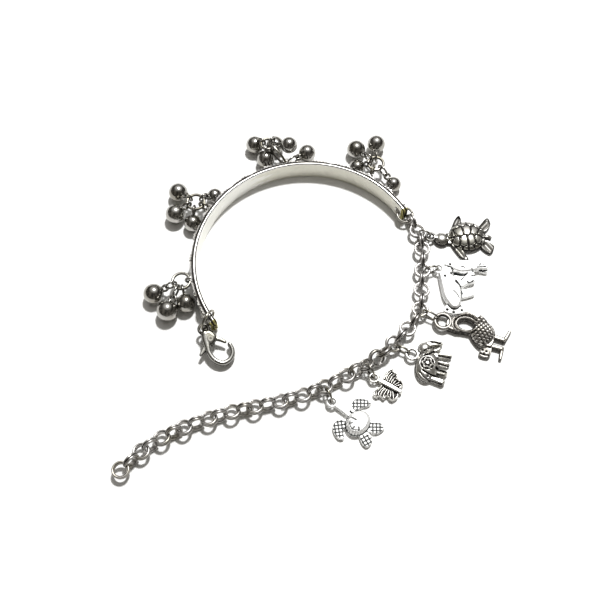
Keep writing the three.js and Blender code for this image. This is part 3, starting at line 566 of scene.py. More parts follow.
def build_cuff():
    skin = Skin()
    length = (CUFF_END - CUFF_START) / DEGREES_PER_MM
    wall = CUFF_OUTER - CUFF_INNER
    ends = np.array(END_SECTIONS)
    middle = np.linspace(FIRST_SECTION, length - FIRST_SECTION, CUFF_SECTIONS)
    along = np.concatenate((ends, middle, length - ends[::-1]))
    half = half_height(np.minimum(along, length - along))
    section = [(0 * along, u * (half - INNER_EDGE)) for u in np.linspace(-1, 1, INNER_LEVELS)[1:-1]]
    outer_from = len(section) + len(TOP_PROFILE)
    section += [(extra + 0 * along, half - drop) for extra, drop in TOP_PROFILE]
    for u in np.linspace(-1, 1, OUTER_LEVELS)[::-1]:
        height = u * (half - OUTER_EDGE)
        section.append((wall + cuff_relief(along, height / half), height))
    section += [(extra + 0 * along, drop - half) for extra, drop in TOP_PROFILE[::-1]]
    radii, heights = [np.stack(column, 1) for column in zip(*section)]
    near_end = np.minimum(along, length - along)[:, None]
    softened = bump(near_end, END_ROUND)
    radii = radii * (1 - 0.12 * softened) + 0.05 * softened
    angle = np.radians(CUFF_START + along * DEGREES_PER_MM)[:, None]
    full = CUFF_INNER + radii
    x = CUFF_CENTRE[0] + full * np.cos(angle)
    y = CUFF_CENTRE[1] + full * np.sin(angle)
    points = np.stack((x, y, CUFF_HEIGHT / 2 + heights), -1)
    rows, columns = radii.shape
    turned = np.degrees(angle) - CUFF_START
    outer = np.zeros(columns, dtype=bool)
    outer[outer_from:-len(TOP_PROFILE)] = True
    relief = smooth((radii - wall - 0.12) / 0.4)
    rubbed = 0.3 * smooth((turned - 95) / 30)
    groove = 1.6 * bump(radii - 0.31, 0.12) + smooth((radii - 0.9) / 0.15)
    tarnish_and_shade = np.where(outer, 0.85 - rubbed - 0.7 * relief, np.clip(groove, 0, 1))
    inner = radii < 0.1
    # Painted shadow of the cuff on its own inner face, ragged-edged: darker, more satin, a little brass.
    ragged = turned + 5 * np.sin(heights * 2.3) + 3 * np.sin(heights * 5.1 + turned * 0.9)
    dimmed = inner * (1 - smooth((ragged - PAINTED_SHADE_UNTIL) / 10))
    tarnish_and_shade = tarnish_and_shade + 0.14 * dimmed
    finish = np.where(near_end < BRASS_REACH, 1.0, 0.5 * inner + 0.22 * dimmed)
    skin.add(points, tube_faces(rows, columns), tarnish_and_shade.ravel(), finish.ravel())
    for angle, centre, hub in zip(LOOP_ANGLES, loop_centres, HUBS):
        normal = np.cross(plan_vector(angle), UP) if hub.in_loop else UP
        add_ring(skin, centre, plan_vector(angle), normal, LOOP_RADIUS, LOOP_WIRE)
    return make_piece("cuff_bar", skin, cuff_silver, ["cuff"], crease=50)


DRILL_REACH = 2.0        # millimetres to each side of the bar's middle
DRILL_SIDES = 40


def cut_hole(piece, angle):
    """Drills the cuff through its thickness."""
    centre = (cuff_point(angle, CUFF_INNER + 0.6, CUFF_HEIGHT / 2) - FOOTPRINT_MIDDLE) * MILLIMETRE
    turns = np.linspace(0, TAU, DRILL_SIDES, endpoint=False)
    outward = plan_vector(angle)
    side = np.cross(UP, outward)
    circle = side * np.cos(turns)[:, None] + UP * np.sin(turns)[:, None]
    points = np.concatenate([circle * HOLE_RADIUS + outward * depth for depth in (-DRILL_REACH, DRILL_REACH)])
    dimmed = np.full(len(points), 0.7)
    mesh = mesh_from("drill", points, tube_faces(2, len(turns)), dimmed, dimmed * 0, MILLIMETRE)
    mesh.transform(Matrix.Translation(Vector(centre)))
    drill = add_object("drill", mesh)
    cut_away(piece, drill)
    cut = evaluated_mesh(piece)
    piece.modifiers.clear()
    piece.data = cut
    bpy.data.objects.remove(drill)


hole_start = CUFF_START + HOLE_INSET * DEGREES_PER_MM
hole_end = CUFF_END - HOLE_INSET * DEGREES_PER_MM


def hole_point(angle):
    return cuff_point(angle, (CUFF_INNER + CUFF_OUTER) / 2, CUFF_HEIGHT / 2)


cuff = build_cuff()
cut_hole(cuff, hole_start)
cut_hole(cuff, hole_end)

# ---------------------------------------------------------------- ball clusters


SOLDER_RISE = 0.16       # millimetres
SOLDER_SPAN = 0.16       # radians from the ball's pole
BALL_LEVELS, BALL_SIDES = 41, 56


def add_ball(skin, centre, radius, axis):
    """A bead with a small fillet of solder round the foot of its eye."""
    polar = np.linspace(0, math.pi, BALL_LEVELS)
    polar = np.concatenate(((0.04, 0.09, 0.14), polar[2:-1], (math.pi - 0.02,)))
    turns = np.linspace(0, TAU, BALL_SIDES, endpoint=False)
    reach = radius + SOLDER_RISE * bump(polar, SOLDER_SPAN)
    z = unit(axis)
    x = unit(np.cross(z, vec(0.31, 0.2, 0.9)))
    y = np.cross(z, x)
    ring = x * np.cos(turns)[:, None] + y * np.sin(turns)[:, None]
    across = (reach * np.sin(polar))[:, None, None]
    height = (reach * np.cos(polar))[:, None, None]
    tarnish_and_shade = np.repeat(0.8 * bump(polar, 0.3), len(turns))
    skin.add(centre + ring[None] * across + z * height, tube_faces(len(polar), len(turns)), tarnish_and_shade)


def build_ball(index, ball):
    skin = Skin()
    centre = vec(ball.x, ball.y, ball.z)
    if ball.on == "hub":
        target, ring_radius, target_wire = hub_centres[ball.cluster], HUBS[ball.cluster].radius, RING_WIRE
    else:
        target, ring_radius, target_wire = loop_centres[ball.cluster], LOOP_RADIUS, LOOP_WIRE
    point, tangent = nearest_on_ring(target, UP, ring_radius, centre)
    along = unit(point - centre)
    reach = np.linalg.norm(point - centre) - ball.radius
    add_ball(skin, centre, ball.radius, along)
    if reach <= EYE_LONGEST:
        eye_radius = max(EYE_RADIUS, (reach + target_wire + GAP + EYE_WIRE + EYE_SINK) / 2)
        add_ring(skin, centre + along * (ball.radius + eye_radius - EYE_SINK), along, tangent,
                 eye_radius, EYE_WIRE, min(eye_radius, EYE_WIDEST))
    else:
        eye_at = EYE_RADIUS - EYE_SINK
        near_wire = eye_at + EYE_RADIUS - EYE_WIRE - SMALL_WIRE + EYE_SLACK
        far_wire = reach + target_wire + GAP + SMALL_WIRE
        half = (far_wire - near_wire) / 2
        eye = centre + along * (ball.radius + eye_at)
        add_ring(skin, eye, along, np.cross(along, tangent), EYE_RADIUS, EYE_WIRE)
        add_ring(skin, centre + along * (ball.radius + near_wire + half), along, tangent,
                 half, SMALL_WIRE, min(LONG_RING_WIDEST, half), seam=100)
    make_piece(f"bead_{index + 1:02d}", skin, ball_steel, [f"ball_{index + 1}"])


for index, ball in enumerate(BALLS):
    build_ball(index, ball)

for index, (hub, centre, loop) in enumerate(zip(HUBS, hub_centres, loop_centres)):
    number = index + 1
    build_ring(f"hub_ring_{number}", f"cluster_ring_{number}", add_ring,
               centre, vec(1, 0), UP, hub.radius, RING_WIRE, seam=70 + 80 * index)
    if not hub.in_loop:
        on_loop = nearest_on_ring(loop, UP, LOOP_RADIUS, centre)[0]
        on_hub = nearest_on_ring(centre, UP, hub.radius, loop)[0]
        build_ring(f"tie_ring_{number}", f"cluster_link_{number}", add_bridge,
                   on_loop, LOOP_WIRE, on_hub, RING_WIRE, LINK_WIRE, TIE_WIDEST, seam=100)

# ---------------------------------------------------------------- chain


ROUTE_STEPS = 60         # between two points of the route
LINK_SIDES = 48


def route_samples():
    """Fine points along a smooth curve through the route, with their distance along it."""
    samples = curve_through(ROUTE, ROUTE_STEPS)
    steps = np.linalg.norm(np.diff(samples, axis=0), axis=1)
    return samples, np.concatenate(((0.0,), np.cumsum(steps)))


Link = namedtuple("Link", "centre tangent normal")


def link_places():
    samples, distance = route_samples()

    def plan_at(d):
        return vec(np.interp(d, distance, samples[:, 0]), np.interp(d, distance, samples[:, 1]))

    places = []
    at = 0.0
    while at <= distance[-1]:
        number = len(places)
        tangent = unit(plan_at(min(at + 0.05, distance[-1])) - plan_at(max(at - 0.05, 0.0)))
        side = np.cross(tangent, UP)
        twist = math.radians(np.interp(at, TWIST_AT, TWIST_DEGREES))
        roll = twist + (0 if number % 2 else math.pi / 2)
        across, along = abs(math.cos(twist)), abs(math.sin(twist))
        centre = plan_at(at)
        leans = ((across, along), (along, across))
        centre[2] = max(LINK_OUTER * upright + LINK_HALF_WIDTH * flat for upright, flat in leans)
        places.append(Link(centre, tangent, UP * math.cos(roll) + side * math.sin(roll)))
        at += JOINED_PITCH if (number + 1) % LINKS_PER_STRETCH else LOOSE_PITCH
    return places


# Half of a link's section, from the middle of its inner face, round a groove in its side, to the groove
# between the two beads of its outer face. columns: radius, distance across, tarnish
LINK_SECTION = (
    (LINK_INNER - 0.15, 0.0, 0.1), (LINK_INNER - 0.15, 0.36, 0.0), (LINK_INNER - 0.12, 0.5, 0.0),
    (LINK_INNER - 0.06, 0.56, 0.3), (LINK_INNER, 0.49, 0.95), (LINK_INNER + 0.05, 0.49, 0.95),
    (LINK_INNER + 0.1, 0.57, 0.5), (LINK_INNER + 0.17, 0.62, 0.15), (LINK_INNER + 0.28, 0.64, 0.0),
    (LINK_OUTER - 0.2, 0.62, 0.05), (LINK_OUTER - 0.1, 0.56, 0.15), (LINK_OUTER - 0.02, 0.44, 0.2),
    (LINK_OUTER, 0.3, 0.05), (LINK_OUTER - 0.05, 0.16, 0.4), (LINK_OUTER - 0.13, 0.0, 0.95),
)


def add_link(skin, link):
    half = list(LINK_SECTION)
    other = [(radius, -across, tarnish_and_shade) for radius, across, tarnish_and_shade in half[-2:0:-1]]
    section = np.array(half + other)
    turns = np.linspace(0, TAU, LINK_SIDES, endpoint=False)
    y = np.cross(link.normal, link.tangent)
    out = link.tangent * np.cos(turns)[:, None] + y * np.sin(turns)[:, None]
    points = link.centre + out[:, None] * section[None, :, 0, None] + link.normal * section[None, :, 1, None]
    faces = grid_faces(len(turns), len(section), wrap_rows=True)
    skin.add(points, [faces], np.tile(section[:, 2], len(turns)))


links = link_places()
for first in range(0, len(links), LINKS_PER_STRETCH):
    skin = Skin()
    for link in links[first:first + LINKS_PER_STRETCH]:
        add_link(skin, link)
    number = f"{first // LINKS_PER_STRETCH + 1:02d}"
    make_piece(f"rolo_{number}", skin, chain_silver, [f"chain_{number}"])

# ---------------------------------------------------------------- rings at the cuff's ends

end_long = unit(plan_vector(END_RING_HEADING, -END_RING_DROP / (2 * END_RING_RADIUS)))
build_ring("chain_end_ring", "end_ring", add_ring, hole_point(hole_start) + end_long * END_RING_RADIUS,
           end_long, UP, END_RING_RADIUS, END_RING_WIRE, seam=60)

clasp_out = plan_vector(CLASP_RING_HEADING)
clasp_ring_centre = hole_point(hole_end) + clasp_out * CLASP_RING_REACH
clasp_ring_centre[2] = CLASP_RING_Z
build_ring("clasp_end_ring", "clasp_ring", add_ring, clasp_ring_centre, clasp_out,
           np.cross(clasp_out, UP), CLASP_RING_RADIUS, CLASP_RING_WIRE, seam=110)

# ---------------------------------------------------------------- clasp


def add_bar(skin, points, half_thick, sides=20, power=0.75):
    """A bar lying along a smooth curve of x, y and half width, with rounded sections and ends."""
    rows = curve_through(points)
    along = np.gradient(rows[:, :2], axis=0)
    along /= np.linalg.norm(along, axis=1)[:, None]
    side = np.stack((-along[:, 1], along[:, 0]), 1)
    around = np.linspace(0, TAU, sides, endpoint=False)
    across = np.sign(np.cos(around)) * np.abs(np.cos(around)) ** power
    upward = np.sign(np.sin(around)) * np.abs(np.sin(around)) ** power
    loops = []
    for end, step in ((0, -1), (len(rows) - 1, 1)):
        half = rows[end, 2]
        caps = []
        for reach in (0.35, 0.75, 0.97):
            shrink = math.sqrt(1 - reach**2)
            middle = rows[end, :2] + step * along[end] * half * reach
            caps.append((middle, side[end], half * shrink, half_thick * max(0.3, shrink)))
        loops.append(caps[::-1] if end == 0 else caps)
    body = [(row[:2], s, row[2], half_thick) for row, s in zip(rows, side)]
    sections = loops[0] + body + loops[1]
    points = []
    for middle, s, half, thick in sections:
        ring = np.empty((sides, 3))
        ring[:, :2] = middle + s * (across * half)[:, None]
        ring[:, 2] = upward * thick
        points.append(ring)
    skin.add(np.array(points), tube_faces(len(sections), sides))


# Height as a share of the half thickness, and how many insets in the outline is there.
PRISM_EDGE = ((0.5, 0.3), (0.8, 1.0), (0.94, 2.0), (1, 3.2))


def add_prism(skin, outline, half_thick, inset=0.0):
    """An upright prism over an outline, its edges rounded off by an inset."""
    outline = np.asarray(outline, dtype=float)
    middle = outline.mean(axis=0)
    levels = [(-1, 0), (1, 0)]
    if inset:
        levels = [(-level, share) for level, share in PRISM_EDGE[::-1]] + [(0, 0), *PRISM_EDGE]
    loops = []
    for level, share in levels:
        reach = np.linalg.norm(outline - middle, axis=1)[:, None]
        shrunk = middle + (outline - middle) * (1 - inset * share / reach)
        loops.append(np.column_stack((shrunk, np.full(len(outline), level * half_thick))))
    skin.add(np.array(loops), tube_faces(len(loops), len(outline)))


def add_drum(skin, centre, radius, half, sides=40, tarnish_and_shade=0.0):
    turns = np.linspace(0, TAU, sides, endpoint=False)
    soft = min(0.08, radius * 0.3)
    rows = ((radius - soft, -half), (radius, soft - half), (radius, half - soft), (radius - soft, half))
    circle = np.column_stack((np.cos(turns), np.sin(turns)))
    loops = [np.column_stack((circle * r + centre, np.full(sides, z))) for r, z in rows]
    skin.add(np.array(loops), tube_faces(len(rows), sides), tarnish_and_shade)


def plain_object(skin):
    """A throwaway object in millimetres, for cutting and joining."""
    points = np.concatenate(skin.points)
    flat = np.zeros(len(points))
    return add_object("rough", mesh_from("rough", points, skin.faces, flat, flat, 1.0))


def fused(skin, voxel, cutter):
    """The union of a skin's closed pieces as one even, softened mesh, less a cutter: its points and faces."""
    rough = plain_object(skin)
    remesh = rough.modifiers.new("join", "REMESH")
    remesh.mode = "VOXEL"
    remesh.voxel_size = voxel
    soften = rough.modifiers.new("soften", "SMOOTH")
    soften.factor = 0.5
    soften.iterations = 3
    tool = plain_object(cutter)
    cut_away(rough, tool)
    mesh = evaluated_mesh(rough)
    points = np.empty(len(mesh.vertices) * 3, dtype=np.float32)
    mesh.vertices.foreach_get("co", points)
    faces = {}
    for polygon in mesh.polygons:
        faces.setdefault(len(polygon.vertices), []).append(tuple(polygon.vertices))
    bpy.data.objects.remove(rough)
    bpy.data.objects.remove(tool)
    return points.reshape(-1, 3), [np.array(group) for group in faces.values()]


eye_turn = math.radians(CLASP_EYE_TURN)
eye_point = clasp_ring_centre + CLASP_RING_RADIUS * (clasp_out * math.cos(eye_turn) + UP * math.sin(eye_turn))
clasp_drop = (eye_point[2] - CLASP_TIP_HEIGHT) / CLASP_LENGTH
clasp_x = unit(plan_vector(CLASP_HEADING, -clasp_drop))
clasp_z = unit(np.cross(clasp_x, plan_vector(CLASP_HEADING + 90)))
clasp_place = np.eye(4)
clasp_place[:3, 0] = clasp_x
clasp_place[:3, 1] = np.cross(clasp_z, clasp_x)
clasp_place[:3, 2] = clasp_z
clasp_place[:3, 3] = eye_point - clasp_place[:3, :2] @ np.array(CLASP_EYE)


SLOT_START, SLOT_END = 2.4, 6.8              # along the clasp's own x
PIVOT_DISC = 0.85        # radius of the dark line round the pin
HOOK_VOXEL, GATE_VOXEL = 0.1, 0.08


def build_clasp_body():
    solid = Skin()
    add_bar(solid, HOOK, CLASP_HALF_THICK)
    add_prism(solid, curve_through(CLASP_HEEL, 6, closed=True), CLASP_HALF_THICK, inset=0.3)
    add_ring(solid, vec(*CLASP_EYE), vec(1, 0), UP, CLASP_EYE_RADIUS, CLASP_EYE_WIRE, sides=20)
    room = Skin()
    add_prism(room, CLASP_ROOM, CLASP_SLOT)
    points, faces = fused(solid, HOOK_VOXEL, room)
    skin = Skin()
    in_slot = np.abs(points[:, 2]) < CLASP_SLOT + 0.02
    in_slot = in_slot & (points[:, 0] > SLOT_START) & (points[:, 0] < SLOT_END)
    around_eye = np.hypot(points[:, 0] - CLASP_EYE[0], points[:, 1] - CLASP_EYE[1])
    tarnish_and_shade = 0.7 * in_slot + 0.5 * bump(around_eye - CLASP_EYE_RADIUS - 0.5, 0.25)
    # Painted shade on the sides: darker round the middle of the thickness than on the two faces.
    tarnish_and_shade = tarnish_and_shade + 0.55 * (1 - smooth((np.abs(points[:, 2]) - 0.45) / 0.4))
    pivot_ring = np.hypot(points[:, 0] - PIVOT[0], points[:, 1] - PIVOT[1]) - PIVOT_DISC
    tarnish_and_shade = tarnish_and_shade + 0.6 * bump(pivot_ring, 0.22)
    skin.add(points, faces, np.clip(tarnish_and_shade, 0, 1))
    add_drum(skin, PIVOT, PIN_RADIUS, CLASP_HALF_THICK + 0.03, tarnish_and_shade=0.5)
    skin.place(clasp_place)
    make_piece("clasp_hook", skin, clasp_silver, ["clasp_body"], crease=40)


def build_clasp_lever():
    solid = Skin()
    add_drum(solid, PIVOT, HUB_RADIUS, LEVER_HALF)
    add_bar(solid, GATE, LEVER_HALF)
    add_bar(solid, THUMB, LEVER_HALF)
    bore = Skin()
    add_drum(bore, PIVOT, BORE_RADIUS, 1.0)
    points, faces = fused(solid, GATE_VOXEL, bore)
    skin = Skin()
    skin.add(points, faces, 0.15)
    skin.place(clasp_place)
    make_piece("clasp_gate", skin, clasp_silver, ["clasp_lever"], body="lever", crease=40)


build_clasp_body()
build_clasp_lever()

# ---------------------------------------------------------------- charms

# A charm's own x runs away from its bail and y to its left, in millimetres.
Dome = namedtuple("Dome", "x y long wide high")
Limb = namedtuple("Limb", "high points")              # points are x, y, half width
Slab = namedtuple("Slab", "high points")
Hole = namedtuple("Hole", "x y long wide")
# What is worked into the top; half is its half width and amount its height or depth. kind says how:
# grooves, ridges and troughs follow a line, shades paint shade along one and slopes fall along one with a
# little painted shade. Pits sit at points and pools sink an outline and paint a shadow into it. Scutes,
# scales, checks and a flower cover an area, collars go round the hole, and a rim leaves the edge standing.
# On a shell, amount squares the dome off, half paints a highlight over it, and plates part it.
Mark = namedtuple("Mark", "kind half amount points")
# edge is how much painted shade darkens the outline, walls and underside, and flat how square
# the limbs are in section.
Charm = namedtuple(
    "Charm", "name x y heading link bail wire finish edge flat limbs slabs marks domes hole",
    defaults=((), None))


def alike(kind, shared, *shapes):
    """Rows of a table that share all their columns but the last."""
    return [kind(*shared, shape) for shape in shapes]


TURTLE_SCUTED = Charm(
    "turtle_scuted", 36.9, 19.1, 0, 1, 1.2, 0.38, "dark", 0.7, 3,
    domes=(
        Dome(10.45, 0.35, 5.2, 4.75, 3.3), Dome(3.2, -0.5, 2.2, 2.1, 2.6), Dome(16, 0.3, 1.5, 0.8, 1.8),
    ),
    limbs=(
        Limb(2.3, ((1, -0.1, 0.45), (3, -0.4, 0.9))),
    ),
    slabs=(
        *alike(
            Slab, (1.5,),
            ((3.2, -1.4), (6.6, -1.7), (6.6, 1.4), (3.2, 0.7)),
            ((5.7, 2), (6.4, 3.7), (7.4, 6), (8.65, 7.3), (9.2, 6), (8.6, 3.4)),
            ((5.6, -1.4), (7, -4.4), (8.5, -6.4), (10.3, -7), (9.6, -5.2), (8.8, -3.4)),
            ((13.6, 2.6), (14.8, 4.6), (16.8, 6.5), (17.45, 4.3), (15.4, 1.8)),
            ((15.2, -0.7), (14, -2.6), (16.7, -5), (17.9, -2.8), (16.4, -0.9)),
        ),
    ),
    marks=(
        Mark("scutes", 0.24, 0.45, (
            (5.7, 0.8), (7.9, 1.25), (10.3, 1.6), (12.4, 1.55), (14.3, 0.9), (5.2, -1.2), (7.1, -1.8),
            (9.2, -1.8), (11.4, -1.5), (13.4, -1.1), (6.9, 3.5), (9.2, 4.6), (11.5, 4.6), (13.6, 3.7),
            (15.2, 2.2), (6, -3.4), (7.8, -4.3), (9.7, -4.6), (11.6, -4.4), (13.4, -3.5), (15.2, -1.6),
        )),
        *alike(Mark, ("slope", 1.8, 0.55), ((6.6, 3.2), (8.8, 7.2)), ((7.2, -3.8), (10, -6.8))),
        *alike(Mark, ("slope", 1.6, 0.45), ((14.4, 2.8), (17, 6)), ((15, -1.8), (17.2, -4.4))),
        *alike(Mark, ("trough", 0.6, 0.4), ((7.2, 4), (8.4, 6.6)), ((7, -3.4), (8.9, -6))),
        *alike(Mark, ("trough", 0.7, 0.45), ((14.9, 3.4), (16.5, 5.2)), ((15.4, -2.2), (16.8, -3.9))),
        Mark("pits", 0.22, 0.5, ((2.4, 0.7), (2.4, -1.8))),
        Mark("groove", 0.14, 0.2, ((4.9, 1.1), (4.6, -0.4), (4.9, -2))),
    ),
)
DOLPHINS = Charm(
    "dolphins", 38.5, 8.9, 0, 5, 1.2, 0.38, "white", 0, 9,
    limbs=(
        Limb(2.7, (
            (2.1, 1.12, 0.45), (3.5, 1.2, 1.05), (6, 0.7, 1.85), (8.6, 0.8, 1.75), (11.2, 0.7, 1.1),
            (13.3, 0.35, 0.9),
        )),
        Limb(2.9, (
            (0.6, -1.8, 0.7), (1.9, -3.2, 1.9), (2.9, -5.8, 2.6), (3.2, -8.2, 2.5), (3.6, -10.4, 1.7),
            (3.6, -11.6, 1.4),
        )),
    ),
    slabs=(
        Slab(2.2, ((0.6, -0.9), (1.1, 0.1), (1.7, 0.9), (3.2, 0.9), (3.4, -2.4), (1, -2.6))),
        Slab(2.2, ((4.4, 0), (9, -0.4), (10, -2.1), (9.8, -4), (7.9, -4.7), (5, -6), (4, -3))),
        Slab(1.6, ((5.2, -6.2), (7.5, -6.4), (9.5, -7.75), (7.9, -8.5), (5.4, -8.8))),
        Slab(1.6, ((1.6, -10.8), (5.2, -10.8), (6, -13.3), (3, -13.7), (0.6, -12.75))),
        Slab(1.5, ((11, 1.6), (13, 1.9), (13.6, -0.9), (11, -0.3))),
    ),
    marks=(
        Mark("pits", 0.26, 0.6, ((3.2, 1), (1.5, -2.7))),
        Mark("pool", 0.1, 1.2, (
            (2.9, -1.4), (4.5, -1), (6, -1.4), (7, -1.6), (8.1, -1.2), (7.6, -2.1), (6.5, -2.5),
            (4.8, -2.3), (3.6, -2.2),
        )),
        Mark("pool", 0.1, 1, (
            (4.1, -4.4), (4.6, -3.6), (5, -4.1), (5.6, -5.1), (6, -6.2), (5.6, -6.6), (5.2, -5.6),
            (4.6, -5.1),
        )),
        Mark("groove", 0.1, 0.2, ((2.6, 0.5), (3.3, 0.3), (3.9, -0.2))),
        *alike(
            Mark, ("groove", 0.12, 0.3),
            ((6.2, 0.4), (7.2, 0)), ((9.1, -0.3), (9.4, -1.1)), ((5.9, -6.7), (6.1, -7.7)),
        ),
        Mark("groove", 0.14, 0.4, ((10.7, 0.1), (13, 0.3))),
        Mark("groove", 0.13, 0.4, ((9, -2.3), (9.8, -2.3), (10.1, -1.7))),
        Mark("groove", 0.11, 0.25, ((6, -3.7), (7, -2.5))),
        Mark("groove", 0.15, 0.5, ((7.6, -4.2), (8.3, -4.5), (9.3, -3.9))),
        Mark("groove", 0.1, 0.3, ((3.5, -7.2), (4.4, -8.3), (4.9, -9.5))),
        Mark("groove", 0.15, 0.4, ((5, -10.9), (5.4, -11.4), (5.8, -11), (5.7, -10.4))),
        Mark("pits", 0.32, 0.5, ((5.6, -12.6), (1.6, -12.4), (3.3, -13.2))),
        Mark("groove", 0.13, 0.35, ((11.3, 0.7), (11.9, 1.5))),
        Mark("groove", 0.11, 0.3, ((12.3, 0.9), (12.8, 1.5))),
    ),
)
BIRD = Charm(
    "bird", 38.6, -7.2, -12, 9, 2.1, 0.6, "aged", 0.45, 3,
    domes=(Dome(11, -1.25, 3.4, 3.7, 3),),
    limbs=(
        Limb(1.9, ((13, -1.3, 0.75), (17, -1.9, 0.7))),
        Limb(1.5, ((16.9, -2.2, 0.5), (18.2, 1.2, 0.4))),
        Limb(1.9, ((12.8, -4.2, 0.75), (16.7, -4.5, 0.7))),
        Limb(1.5, ((16.7, -4.2, 0.5), (16.5, -7.6, 0.4))),
    ),
    slabs=(
        Slab(2.1, (
            (1.2, 0.9), (3.5, 2.3), (5.1, 3.8), (7.2, 4.45), (9.4, 4.1), (11.2, 3), (12.7, 1.3),
            (13.8, -0.3), (14.2, -2.2), (13.6, -4.6), (11, -5.4), (9.5, -4.5), (8.5, -3.2), (7.6, -2.3),
            (3.65, -2.3), (1.2, -1.6),
        )),
        Slab(1.8, ((12, -4.4), (10.8, -7.4), (13.4, -7.7), (13.7, -4.4))),
    ),
    hole=Hole(6.3, 0.3, 2.2, 1.5),
    marks=(
        Mark("scales", 0.9, 0.45, ((10.8, -0.6), (3.6, 4.6))),
        *alike(Mark, ("collar", 0.2, 0.3), ((6.3, 0.3), (2.75, 2.05)), ((6.3, 0.3), (3.8, 3.2))),
        Mark("collar", 0.16, -0.3, ((6.3, 0.3), (3.25, 2.6))),
        Mark("pits", 0.2, 0.35, ((3.3, 1.4), (4, 2.2), (4.8, 2.8), (5.8, 3.2), (6.8, 3.3), (7.8, 3.1))),
        Mark("ridge", 0.4, 0.3, (
            (1.3, -1.4), (3.6, -1.9), (7.4, -2), (8.6, -2.8), (9.9, -4.3), (11.2, -5),
        )),
        Mark("groove", 0.18, 0.5, ((11.5, -4.9), (13.4, -4.9))),
        Mark("slope", 1.6, 0.5, ((12.3, -4.9), (12, -7.4))),
        Mark("groove", 0.14, 0.3, ((11, -6.9), (12.1, -7.2), (13.2, -7.1))),
        Mark("pits", 0.2, 0.3, ((11.6, -6), (12.6, -6.2), (12.1, -6.9))),
    ),
)
ELEPHANT = Charm(
    "elephant", 29.75, -16.75, -12, 13, 1.5, 0.42, "light", 0.2, 4,
    domes=(Dome(3.1, 2.4, 1.8, 1.9, 2.7), Dome(4.4, -2.5, 3.1, 4.6, 3.2), Dome(4.1, 1.5, 1.5, 1.2, 3.1)),
    limbs=(
        Limb(2.1, ((3, 3.2, 1), (5.1, 4.25, 0.95), (7.4, 4.65, 0.5))),
        Limb(1.8, ((4.4, 1.9, 0.4), (5.8, 2.3, 0.4), (7.2, 3.4, 0.3))),
        *alike(Limb, (2,), ((4.2, 0.6, 1), (10.2, 1.55, 0.65)), ((5.2, -3.2, 1), (9.6, -3.5, 0.85))),
        Limb(1.7, ((5.8, -1, 0.9), (9.9, -0.9, 0.75))),
        Limb(2.2, ((4.8, -5, 1.2), (9.2, -6.2, 0.95))),
    ),
    slabs=(
        Slab(1.5, ((1.2, 0.9), (1.4, -1.4), (3, -1.4), (3, 1.4))),
    ),
    marks=(
        Mark("flower", 0.3, 0.5, ((4.3, -2.1), (1.15, 1.15))),
        Mark("groove", 0.34, 1, ((4.6, 4.75), (5.6, 4.8), (6.7, 4.7))),
        Mark("shade", 0.9, 0.3, ((2.6, 2.6), (4.2, 3.2))),
        Mark("ridge", 0.3, 0.4, ((3.6, 0.8), (4.3, 1.4), (5, 2.1))),
        Mark("groove", 0.2, 0.6, ((3.3, 0.1), (4.5, 0.8), (5.5, 2))),
        Mark("groove", 0.18, 0.4, ((3, 1.4), (4.1, 2.2), (4.9, 2.8))),
        Mark("shade", 0.8, 0.4, ((2.2, 0), (3.2, -0.4))),
        Mark("groove", 0.28, 0.6, ((7.2, 1), (10.3, 1.1))),
        Mark("groove", 0.3, 0.6, ((7.4, -1.1), (9.9, -1.3))),
        Mark("groove", 0.42, 1.2, ((6.9, -2.6), (8.2, -2.8), (9.8, -2.9))),
        Mark("ridge", 0.24, 0.3, ((5.4, -2.2), (7.4, -1.9), (9.6, -2.1))),
        Mark("ridge", 0.28, 0.35, ((4.9, -3.4), (7, -3.9), (9.6, -4))),
        Mark("groove", 0.26, 0.7, ((3.6, -4.3), (5.4, -4.9), (7.4, -5), (9.3, -5))),
        Mark("pits", 0.3, 0.3, ((5, -5.6),)),
        Mark("groove", 0.14, 0.25, ((2.6, -4.8), (4.2, -6.1), (6.6, -6.6), (8.8, -6.8))),
        Mark("shade", 1.3, 0.25, ((2, -3.4), (2.4, -5.2), (4.6, -6.6), (8.4, -7))),
    ),
)
